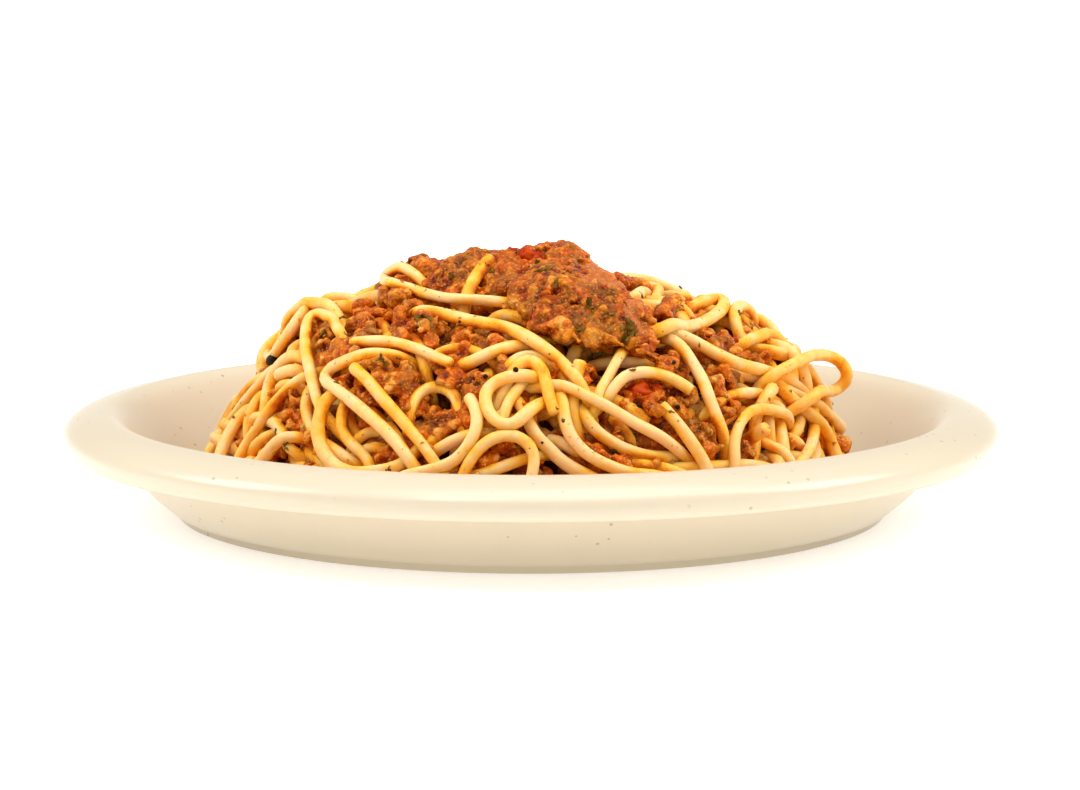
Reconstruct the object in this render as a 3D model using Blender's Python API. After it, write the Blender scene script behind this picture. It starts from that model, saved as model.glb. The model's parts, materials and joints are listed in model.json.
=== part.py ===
"""Spaghetti bolognese on a round rimmed plate: the plate, the heap of spaghetti in it and the meat
sauce on top, one closed solid each. Metres, +Z up, origin under the plate's centre where it stands."""

import math

import bmesh
import bpy
from mathutils import Vector

MM = 0.001

# The plate, a body of revolution about Z.
PLATE_RADIUS = 101.5 * MM
CREST_RADIUS = 90.8 * MM  # the rim's highest circle
CREST_HEIGHT = 22.6 * MM
LIP_HEIGHT = 17.6 * MM  # where the rim is widest
LIP_BOTTOM_RADIUS = 99.4 * MM
LIP_BOTTOM_HEIGHT = 14.7 * MM
WALL_TOP_RADIUS = 88.5 * MM
WALL_BEND_RADIUS = 84.0 * MM
WALL_BEND_HEIGHT = 7.0 * MM
FOOT_RADIUS = 76.8 * MM
FOOT_HEIGHT = 1.7 * MM
FOOT_WIDTH = 4.6 * MM
RECESS_HEIGHT = 1.5 * MM  # the underside inside the foot ring
WELL_HEIGHT = 4.9 * MM  # the flat floor that the food lies on
WELL_RADIUS = 66.0 * MM
WALL_HOLLOWNESS = 2.0  # over 1, the inner wall stays low for longer before it rises
PLATE_STEPS = 64

# The heap of spaghetti. Its bumps and bundles are (x, y, rise, spread) and
# (start, end, bow, rise, spread): strands that bunch up in one place and strands that run side by side.
HEAP_RADIUS = 73.0 * MM
HEAP_TOP = 50.4 * MM
HEAP_EDGE = 2.2 * MM  # the heap's thickness at its outline
HEAP_FULLNESS = 3.7  # the power of the dome: 2 is a bowl's curve, more is a fuller side
HEAP_WAVES = ((1, 0.012, 180), (3, 0.014, 40), (5, 0.012, 100), (11, 0.008, 10))  # number, share, degrees
HEAP_BUMPS = (
    (-49 * MM, -4 * MM, 3.8 * MM, 6.5 * MM),
    (33 * MM, 6 * MM, -1.8 * MM, 8.0 * MM),
    (-60 * MM, 18 * MM, 2.6 * MM, 6.0 * MM),
    (-38 * MM, -44 * MM, 2.4 * MM, 7.0 * MM),
    (-2 * MM, -62 * MM, 2.6 * MM, 7.0 * MM),
    (34 * MM, -50 * MM, 2.8 * MM, 7.0 * MM),
    (61 * MM, -8 * MM, 4.4 * MM, 5.0 * MM),
    (44 * MM, 3 * MM, 2.8 * MM, 5.5 * MM),
    (50 * MM, 36 * MM, 2.6 * MM, 7.5 * MM),
    (12 * MM, 58 * MM, 3.0 * MM, 8.0 * MM),
    (-32 * MM, 52 * MM, 2.4 * MM, 7.5 * MM),
    (-20 * MM, -56 * MM, -2.4 * MM, 6.0 * MM),
    (16 * MM, -60 * MM, -2.0 * MM, 5.5 * MM),
    (56 * MM, -30 * MM, -2.2 * MM, 6.0 * MM),
    (58 * MM, 16 * MM, -2.4 * MM, 6.0 * MM),
    (-12 * MM, 60 * MM, -2.2 * MM, 6.5 * MM),
    (-62 * MM, -14 * MM, -2.2 * MM, 6.0 * MM),
)
HEAP_BUNDLES = (
    ((-52 * MM, 4 * MM), (-56 * MM, -36 * MM), 6 * MM, 2.0 * MM, 3.2 * MM),
    ((-44 * MM, -24 * MM), (-12 * MM, -64 * MM), -5 * MM, 1.9 * MM, 3.2 * MM),
    ((14 * MM, -52 * MM), (46 * MM, -46 * MM), 7 * MM, 1.8 * MM, 3.2 * MM),
    ((44 * MM, -26 * MM), (64 * MM, -24 * MM), -5 * MM, 1.9 * MM, 3.0 * MM),
    ((52 * MM, 4 * MM), (30 * MM, 52 * MM), -8 * MM, 1.9 * MM, 3.4 * MM),
    ((22 * MM, 44 * MM), (-26 * MM, 62 * MM), 7 * MM, 2.0 * MM, 3.4 * MM),
    ((-42 * MM, 26 * MM), (-48 * MM, 50 * MM), -6 * MM, 1.9 * MM, 3.2 * MM),
    ((-46 * MM, 10 * MM), (-68 * MM, 6 * MM), 5 * MM, 1.8 * MM, 3.0 * MM),
)
HEAP_STEPS = 72
HEAP_RINGS = 21

# The meat sauce, a cap that lies over the heap's top and hangs down its front.
SAUCE_CENTRE = (-2.0 * MM, -6.0 * MM)
SAUCE_RADIUS = 31.8 * MM
SAUCE_DEPTH = 4.6 * MM
SAUCE_EDGE = 1.0 * MM
SAUCE_WAVES = (
    (1, 0.133, 335), (2, 0.241, 266), (3, 0.194, 185), (4, 0.079, 103),
    (5, 0.027, 66), (8, 0.03, 75), (13, 0.02, 10),
)
SAUCE_BUMPS = (
    (6 * MM, 2 * MM, 3.6 * MM, 6.0 * MM),
    (-14 * MM, 0 * MM, 1.8 * MM, 6.0 * MM),
    (-25 * MM, -2 * MM, 4.4 * MM, 4.5 * MM),
    (22 * MM, -12 * MM, 1.2 * MM, 5.0 * MM),
    (10 * MM, -28 * MM, 1.8 * MM, 6.0 * MM),
    (-10 * MM, -22 * MM, -1.4 * MM, 4.5 * MM),
    (22 * MM, -34 * MM, 1.0 * MM, 4.5 * MM),
    (-4 * MM, 18 * MM, 1.4 * MM, 5.5 * MM),
    (16 * MM, 16 * MM, -1.2 * MM, 5.0 * MM),
    (-20 * MM, 14 * MM, -1.0 * MM, 4.5 * MM),
)
SAUCE_STEPS = 44
SAUCE_RINGS = 11

REST_GAP = 0.4 * MM  # left between pieces that lie on each other


def clear_scene():
    for obj in list(bpy.data.objects):
        bpy.data.objects.remove(obj)


def material(name, colour, roughness, metallic=0.0):
    made = bpy.data.materials.new(name)
    made.use_nodes = True
    shader = made.node_tree.nodes["Principled BSDF"]
    shader.inputs["Base Color"].default_value = (*colour, 1.0)
    shader.inputs["Roughness"].default_value = roughness
    shader.inputs["Metallic"].default_value = metallic
    return made


def object_of(name, mesh, finish, sharp_degrees):
    mesh.materials.append(finish)
    mesh.shade_smooth()
    mesh.set_sharp_from_angle(angle=math.radians(sharp_degrees))
    obj = bpy.data.objects.new(name, mesh)
    bpy.context.scene.collection.objects.link(obj)
    return obj


def smooth_step(share):
    share = min(1.0, max(0.0, share))
    return share * share * (3 - 2 * share)


def quarter(centre, across, up, start, count):
    """Points of a quarter of an ellipse, clockwise from start degrees, without its first point."""
    points = []
    for i in range(1, count + 1):
        angle = math.radians(start - 90 * i / count)
        points.append((centre[0] + across * math.cos(angle), centre[1] + up * math.sin(angle)))
    return points


def plate_inside(radius):
    """Height of the plate's upper surface, from its centre out to the rim's crest."""
    share = max(0.0, radius - WELL_RADIUS) / (CREST_RADIUS - WELL_RADIUS)
    return WELL_HEIGHT + (CREST_HEIGHT - WELL_HEIGHT) * smooth_step(share**WALL_HOLLOWNESS)


def plate_profile():
    """The plate's half section as (radius, height), from its floor's middle to its underside's."""
    rings = 9
    points = [(0.0, WELL_HEIGHT)]
    for i in range(rings + 1):
        radius = WELL_RADIUS + (CREST_RADIUS - WELL_RADIUS) * i / rings
        points.append((radius, plate_inside(radius)))
    rim = PLATE_RADIUS - CREST_RADIUS
    points += quarter((CREST_RADIUS, LIP_HEIGHT), rim, CREST_HEIGHT - LIP_HEIGHT, 90, 6)
    lip = PLATE_RADIUS - LIP_BOTTOM_RADIUS
    points += quarter((LIP_BOTTOM_RADIUS, LIP_HEIGHT), lip, LIP_HEIGHT - LIP_BOTTOM_HEIGHT, 0, 3)
    groove = 1.6 * MM
    points += [
        (LIP_BOTTOM_RADIUS - 3 * MM, LIP_BOTTOM_HEIGHT + groove),
        (WALL_TOP_RADIUS + 2 * MM, LIP_BOTTOM_HEIGHT + groove),
        (WALL_TOP_RADIUS, LIP_BOTTOM_HEIGHT - 0.4 * MM),
        (WALL_BEND_RADIUS + 3 * MM, WALL_BEND_HEIGHT + 4 * MM),
        (WALL_BEND_RADIUS, WALL_BEND_HEIGHT),
        (FOOT_RADIUS + 1.5 * MM, FOOT_HEIGHT + 0.4 * MM),
        (FOOT_RADIUS + 0.2 * MM, FOOT_HEIGHT),
        (FOOT_RADIUS, 0.5 * MM),
        (FOOT_RADIUS - 0.6 * MM, 0.0),
        (FOOT_RADIUS - FOOT_WIDTH, 0.0),
        (FOOT_RADIUS - FOOT_WIDTH - RECESS_HEIGHT, RECESS_HEIGHT),
        (0.0, RECESS_HEIGHT),
    ]
    return points


def plate_mesh():
    """The half section turned once about Z."""
    shape = bmesh.new()
    section = [shape.verts.new((radius, 0.0, height)) for radius, height in plate_profile()]
    edges = [shape.edges.new(pair) for pair in zip(section, section[1:])]
    bmesh.ops.spin(
        shape, geom=section + edges, cent=(0, 0, 0), axis=(0, 0, 1),
        angle=2 * math.pi, steps=PLATE_STEPS, use_merge=True, use_duplicate=False,
    )
    bmesh.ops.remove_doubles(shape, verts=shape.verts, dist=0.01 * MM)
    bmesh.ops.recalc_face_normals(shape, faces=shape.faces)
    mesh = bpy.data.meshes.new("plate")
    shape.to_mesh(mesh)
    shape.free()
    return mesh


def waved(radius, waves, angle):
    """A radius that changes round a turn by several waves of (number, share, degrees)."""
    share = sum(size * math.cos(count * angle - math.radians(turn)) for count, size, turn in waves)
    return radius * (1 + share)


def bell(distance, spread):
    return math.exp(-distance * distance / (2 * spread * spread))


def bumps(x, y, table):
    """What a table of (x, y, rise, spread) adds to a height."""
    total = 0.0
    for across, along, rise, spread in table:
        total += rise * bell(math.hypot(x - across, y - along), spread)
    return total


def bundles(x, y, table):
    """What a table of bowed ridges (start, end, bow, rise, spread) adds to a height."""
    here = Vector((x, y))
    total = 0.0
    for start, end, bow, rise, spread in table:
        start, end = Vector(start), Vector(end)
        run = end - start
        length = run.length
        along = (here - start).dot(run) / length
        share = min(1.0, max(0.0, along / length))
        side = Vector((-run.y, run.x)) / length
        nearest = start + run * share + side * bow * 4 * share * (1 - share)
        total += rise * bell((here - nearest).length, spread)
    return total


def heap_radius(angle):
    return waved(HEAP_RADIUS, HEAP_WAVES, angle)


def sauce_share(x, y):
    """How far (x, y) is from the sauce's centre, as a share of the way to its outline."""
    across, along = x - SAUCE_CENTRE[0], y - SAUCE_CENTRE[1]
    return math.hypot(across, along) / waved(SAUCE_RADIUS, SAUCE_WAVES, math.atan2(along, across))


def heap_height(x, y):
    """The heap's upper surface: a full dome, with bumps and bundles where no sauce presses it smooth."""
    outline = heap_radius(math.atan2(y, x))
    share = min(1.0, math.hypot(x, y) / outline)
    edge = plate_inside(outline) + REST_GAP + HEAP_EDGE
    height = edge + (HEAP_TOP - edge) * (1 - share**HEAP_FULLNESS)
    bare = smooth_step((sauce_share(x, y) - 0.75) * 2) * smooth_step((1 - share) * 6)
    return height + bare * (bumps(x, y, HEAP_BUMPS) + bundles(x, y, HEAP_BUNDLES))


def cap_mesh(name, outline, steps, rings, upper, lower, lower_rings):
    """A closed cap over a polar grid about a point. upper and lower give its heights at (x, y, share), where
    share is how far out that is, and its outline is a wall between the two."""
    shape = bmesh.new()

    def ring(share, height):
        made = []
        for i in range(steps):
            x, y = outline(2 * math.pi * i / steps, share)
            made.append(shape.verts.new((x, y, height(x, y, share))))
        return made

    def centre(height):
        x, y = outline(0.0, 0.0)
        return shape.verts.new((x, y, height(x, y, 0.0)))

    shells = []
    for height, count in ((upper, rings), (lower, lower_rings)):
        shares = [math.sin(0.5 * math.pi * (i + 1) / count) for i in range(count)]
        shells.append((centre(height), [ring(share, height) for share in shares]))
    for middle, circles in shells:
        for i in range(steps):
            after = (i + 1) % steps
            shape.faces.new((middle, circles[0][i], circles[0][after]))
            for inner, outer in zip(circles, circles[1:]):
                shape.faces.new((inner[i], outer[i], outer[after], inner[after]))
    for i in range(steps):
        after = (i + 1) % steps
        top, bottom = shells[0][1][-1], shells[1][1][-1]
        shape.faces.new((top[i], bottom[i], bottom[after], top[after]))
    bmesh.ops.recalc_face_normals(shape, faces=shape.faces)
    bmesh.ops.triangulate(shape, faces=shape.faces)
    mesh = bpy.data.meshes.new(name)
    shape.to_mesh(mesh)
    shape.free()
    return mesh


def heap_mesh():
    def outline(angle, share):
        reach = heap_radius(angle) * share
        return reach * math.cos(angle), reach * math.sin(angle)

    def upper(x, y, share):
        return heap_height(x, y)

    def lower(x, y, share):
        return plate_inside(math.hypot(x, y)) + REST_GAP

    return cap_mesh("spaghetti", outline, HEAP_STEPS, HEAP_RINGS, upper, lower, 6)


def sauce_mesh():
    def outline(angle, share):
        reach = waved(SAUCE_RADIUS, SAUCE_WAVES, angle) * share
        return SAUCE_CENTRE[0] + reach * math.cos(angle), SAUCE_CENTRE[1] + reach * math.sin(angle)

    def lower(x, y, share):
        return heap_height(x, y) + REST_GAP

    def upper(x, y, share):
        depth = SAUCE_EDGE + (SAUCE_DEPTH - SAUCE_EDGE) * (1 - share**2.4)
        return lower(x, y, share) + depth + bumps(x, y, SAUCE_BUMPS) * (1 - share**4)

    return cap_mesh("meat_sauce", outline, SAUCE_STEPS, SAUCE_RINGS, upper, lower, SAUCE_RINGS)


def main():
    clear_scene()
    glaze = material("cream_glaze", (0.88, 0.79, 0.58), 0.3)
    pasta = material("cooked_pasta", (0.86, 0.62, 0.28), 0.4)
    sauce = material("meat_sauce", (0.40, 0.12, 0.03), 0.35)
    object_of("plate", plate_mesh(), glaze, sharp_degrees=40)
    object_of("spaghetti", heap_mesh(), pasta, sharp_degrees=60)
    object_of("meat_sauce", sauce_mesh(), sauce, sharp_degrees=60)


main()
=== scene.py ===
"""The looks of a plate of spaghetti bolognese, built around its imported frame. Metres, +Z up, the camera
on -Y."""

import functools
import itertools
import json
import math

import bmesh
import bpy
import numpy as np
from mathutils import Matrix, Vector, noise
from mathutils.bvhtree import BVHTree
from mathutils.kdtree import KDTree

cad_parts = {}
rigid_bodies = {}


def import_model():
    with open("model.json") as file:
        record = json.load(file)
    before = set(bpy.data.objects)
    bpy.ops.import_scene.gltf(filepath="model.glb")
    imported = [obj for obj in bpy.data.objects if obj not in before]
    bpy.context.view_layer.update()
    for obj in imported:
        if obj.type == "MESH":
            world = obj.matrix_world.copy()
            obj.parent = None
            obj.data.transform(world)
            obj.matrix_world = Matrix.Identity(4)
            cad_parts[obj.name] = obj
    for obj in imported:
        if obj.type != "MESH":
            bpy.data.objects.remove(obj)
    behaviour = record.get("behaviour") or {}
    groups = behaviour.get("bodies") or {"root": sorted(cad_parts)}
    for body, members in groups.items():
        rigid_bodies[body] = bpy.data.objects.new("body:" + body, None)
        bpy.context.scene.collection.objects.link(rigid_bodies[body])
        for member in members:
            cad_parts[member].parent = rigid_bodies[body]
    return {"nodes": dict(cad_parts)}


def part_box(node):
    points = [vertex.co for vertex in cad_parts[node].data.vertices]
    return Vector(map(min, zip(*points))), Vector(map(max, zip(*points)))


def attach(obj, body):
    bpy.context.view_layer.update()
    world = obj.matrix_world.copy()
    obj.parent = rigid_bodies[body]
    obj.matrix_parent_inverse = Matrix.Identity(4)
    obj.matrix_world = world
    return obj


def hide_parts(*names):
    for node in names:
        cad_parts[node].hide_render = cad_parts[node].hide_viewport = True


MM = 0.001
FULL_TURN = 2 * math.pi
DOWN = Vector((0, 0, -1))

# The camera, which looks along +Y and a little down.
CAMERA_DISTANCE = 900 * MM
CAMERA_ELEVATION = math.radians(8.73)
CAMERA_LENS = 138.0
CAMERA_SENSOR = 36.0
AIM_HEIGHT = 20 * MM  # the point that the distance is measured to, on the plate's axis
AIM = (1.9 * MM, 0.0, 25 * MM)  # what the middle of the picture shows
RISE, LEVEL = math.sin(CAMERA_ELEVATION), math.cos(CAMERA_ELEVATION)
EYE = Vector((0.0, -CAMERA_DISTANCE * LEVEL, AIM_HEIGHT + CAMERA_DISTANCE * RISE))
UP, AHEAD = Vector((0, RISE, LEVEL)), Vector((0, LEVEL, -RISE))

# The strands.
STRAND_RADIUS = 1.29 * MM
STRAND_STEP = 1.5 * MM  # between the points that the solver moves
RING_STEP = 1.15 * MM
RING_SIDES = 10
LAYER = 2.3 * MM  # how much deeper each layer of chosen strands starts
LEAST_SLOPE = 0.04  # how far up a face's normal has to point for strands to be laid under it

# The plate.
PLATE_STEP = 1.4 * MM
PLATE_TURNS = 180
SHOWN_RADIUS = 62 * MM  # within it the food hides the plate, which has fewer rings there


# ---------------------------------------------------------------- meshes and objects

def clear_scene():
    for obj in list(bpy.data.objects):
        bpy.data.objects.remove(obj)


def put(name, data):
    """A new object in the scene."""
    obj = bpy.data.objects.new(name, data)
    bpy.context.scene.collection.objects.link(obj)
    return obj


def aim(obj, place, target):
    """Puts a camera or a light at place and turns it to target."""
    obj.location = place
    obj.rotation_euler = (Vector(target) - obj.location).to_track_quat("-Z", "Y").to_euler()


def corner_rows(obj, name):
    """A vector that each corner of a mesh has, such as its place or its normal."""
    rows = np.empty(len(obj.data.vertices) * 3)
    obj.data.vertices.foreach_get(name, rows)
    return rows.reshape(-1, 3)


def move_corners(obj, places):
    obj.data.vertices.foreach_set("co", places.ravel())
    obj.data.update()


def set_values(obj, name, values):
    """Keeps a value for each corner of a mesh, for its material."""
    layer = obj.data.attributes.get(name) or obj.data.attributes.new(name, "FLOAT", "POINT")
    layer.data.foreach_set("value", np.asarray(values, np.float32))


def shape_arrays(shape):
    """The corners and faces of a bmesh, which is freed."""
    shape.verts.index_update()
    corners = np.array([corner.co[:] for corner in shape.verts])
    faces = [tuple(corner.index for corner in face.verts) for face in shape.faces]
    shape.free()
    return corners, faces


def ring_faces(rings, sides):
    """The faces between rings of corners that follow each other, with sides corners each."""
    faces = []
    for a in range(0, (rings - 1) * sides, sides):
        for k in range(sides):
            after = (k + 1) % sides
            faces.append((a + k, a + after, a + sides + after, a + sides + k))
    return faces


def joined(name, shapes, material=None):
    """One mesh object of many shapes, each (corners, faces, shade), with shade kept for its material."""
    corners, faces, shades, first = [], [], [], 0
    for places, polygons, shade in shapes:
        corners.append(places)
        faces += [tuple(first + i for i in polygon) for polygon in polygons]
        shades.append(np.broadcast_to(shade, len(places)))
        first += len(places)
    mesh = bpy.data.meshes.new(name)
    mesh.from_pydata(np.vstack(corners).tolist(), [], faces)
    mesh.polygons.foreach_set("use_smooth", [True] * len(faces))
    if material:
        mesh.materials.append(material)
    mesh.update()
    obj = put(name, mesh)
    set_values(obj, "shade", np.concatenate(shades))
    return obj


def point_tree(places):
    tree = KDTree(len(places))
    for i, place in enumerate(places):
        tree.insert(place, i)
    tree.balance()
    return tree


class Skin:
    """The outside of some meshes, less the faces whose normals point lower than least."""

    def __init__(self, objects, least=-2.0):
        corners, faces = [], []
        for obj in objects:
            first = len(corners)
            corners += [Vector(place) for place in corner_rows(obj, "co")]
            shown = [face for face in obj.data.polygons if face.normal.z > least]
            faces += [tuple(first + i for i in face.vertices) for face in shown]
        self.tree = BVHTree.FromPolygons(corners, faces)

    def nearest(self, place):
        """The point nearest to place, and which way is out there."""
        return self.tree.find_nearest(Vector(place))[:2]

    def hit(self, start, direction):
        """Where a line meets it, and which way is out there."""
        return self.tree.ray_cast(Vector(start), direction)[:2]

    def seen(self, u, v):
        """Where the camera sees (u, v) on it."""
        return self.hit(*view_ray(u, v))

    def under(self, place, out):
        """Where a line from outside meets it near place."""
        return self.hit(Vector(place) + Vector(out) * 15 * MM, -Vector(out))

    def depths(self, places):
        """How far each place is below the surface, and which way is out there."""
        depth = np.empty(len(places))
        out = np.empty((len(places), 3))
        for i, place in enumerate(places):
            point, normal = self.nearest(place)
            depth[i] = (point - Vector(place)).dot(normal)
            out[i] = normal
        return depth, out


def around(turn, reach):
    """The level step of length reach in the direction turn."""
    return reach * math.cos(turn), reach * math.sin(turn)


# ---------------------------------------------------------------- the camera's view

def add_camera():
    data = bpy.data.cameras.new("camera")
    data.lens = CAMERA_LENS
    data.sensor_width = CAMERA_SENSOR
    data.clip_start = 0.05
    bpy.context.scene.camera = put("camera", data)
    aim(bpy.context.scene.camera, EYE, AIM)


def view_ray(u, v):
    """Where the camera's ray through (u, v) millimetres, counted on an upright sheet that faces the camera
    at the aim point's depth, starts and which way it goes."""
    target = Vector((0, 0, AIM_HEIGHT)) + Vector((1, 0, 0)) * u * MM + UP * v * MM
    return EYE, (target - EYE).normalized()


def view_place(place):
    """The (u, v) millimetres at which the camera sees a place."""
    gap = Vector(place) - EYE
    scale = CAMERA_DISTANCE / gap.dot(AHEAD) / MM
    return gap.x * scale, gap.dot(UP) * scale


def on_dome(dome, u, v):
    """Where the camera sees (u, v) on the dome, and the way out there. Past the dome's outline, a place
    level with its axis."""
    point, normal = dome.seen(u, v)
    if point is None:
        start, direction = view_ray(u, v)
        point = start + direction * (-start.y / direction.y)
        normal = dome.nearest(point)[1]
    return np.array(point), np.array(normal)


def plate_floor(plate):
    """The plate's upper surface as two lists, radii and heights."""
    skin = Skin([plate])
    radii = np.arange(0, 100, 1) * MM
    return radii, np.array([skin.hit((radius, 0.1 * MM, 100 * MM), DOWN)[0].z for radius in radii])


# ---------------------------------------------------------------- strands: paths

def catmull_rom(points, step):
    """A smooth curve through points, as places step apart."""
    points = np.asarray(points, float)
    padded = np.vstack([2 * points[0] - points[1], points, 2 * points[-1] - points[-2]])
    fine = []
    parts = 16
    for a, b, c, d in zip(padded, padded[1:], padded[2:], padded[3:]):
        for i in range(parts):
            t = i / parts
            fine.append(0.5 * (
                2 * b + (c - a) * t + (2 * a - 5 * b + 4 * c - d) * t * t + (3 * b - a - 3 * c + d) * t**3
            ))
    fine.append(points[-1])
    return even(np.array(fine), step)


def even(points, step):
    """The same line with its points step apart."""
    along = np.concatenate([[0], np.cumsum(np.linalg.norm(np.diff(points, axis=0), axis=1))])
    count = max(3, int(round(along[-1] / step)) + 1)
    places = np.linspace(0, along[-1], count)
    return np.stack([np.interp(places, along, points[:, k]) for k in range(3)], 1)


def smoothed(points, times):
    points = points.copy()
    for _ in range(times):
        points[1:-1] += 0.5 * (0.5 * (points[:-2] + points[2:]) - points[1:-1])
    return points


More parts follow.
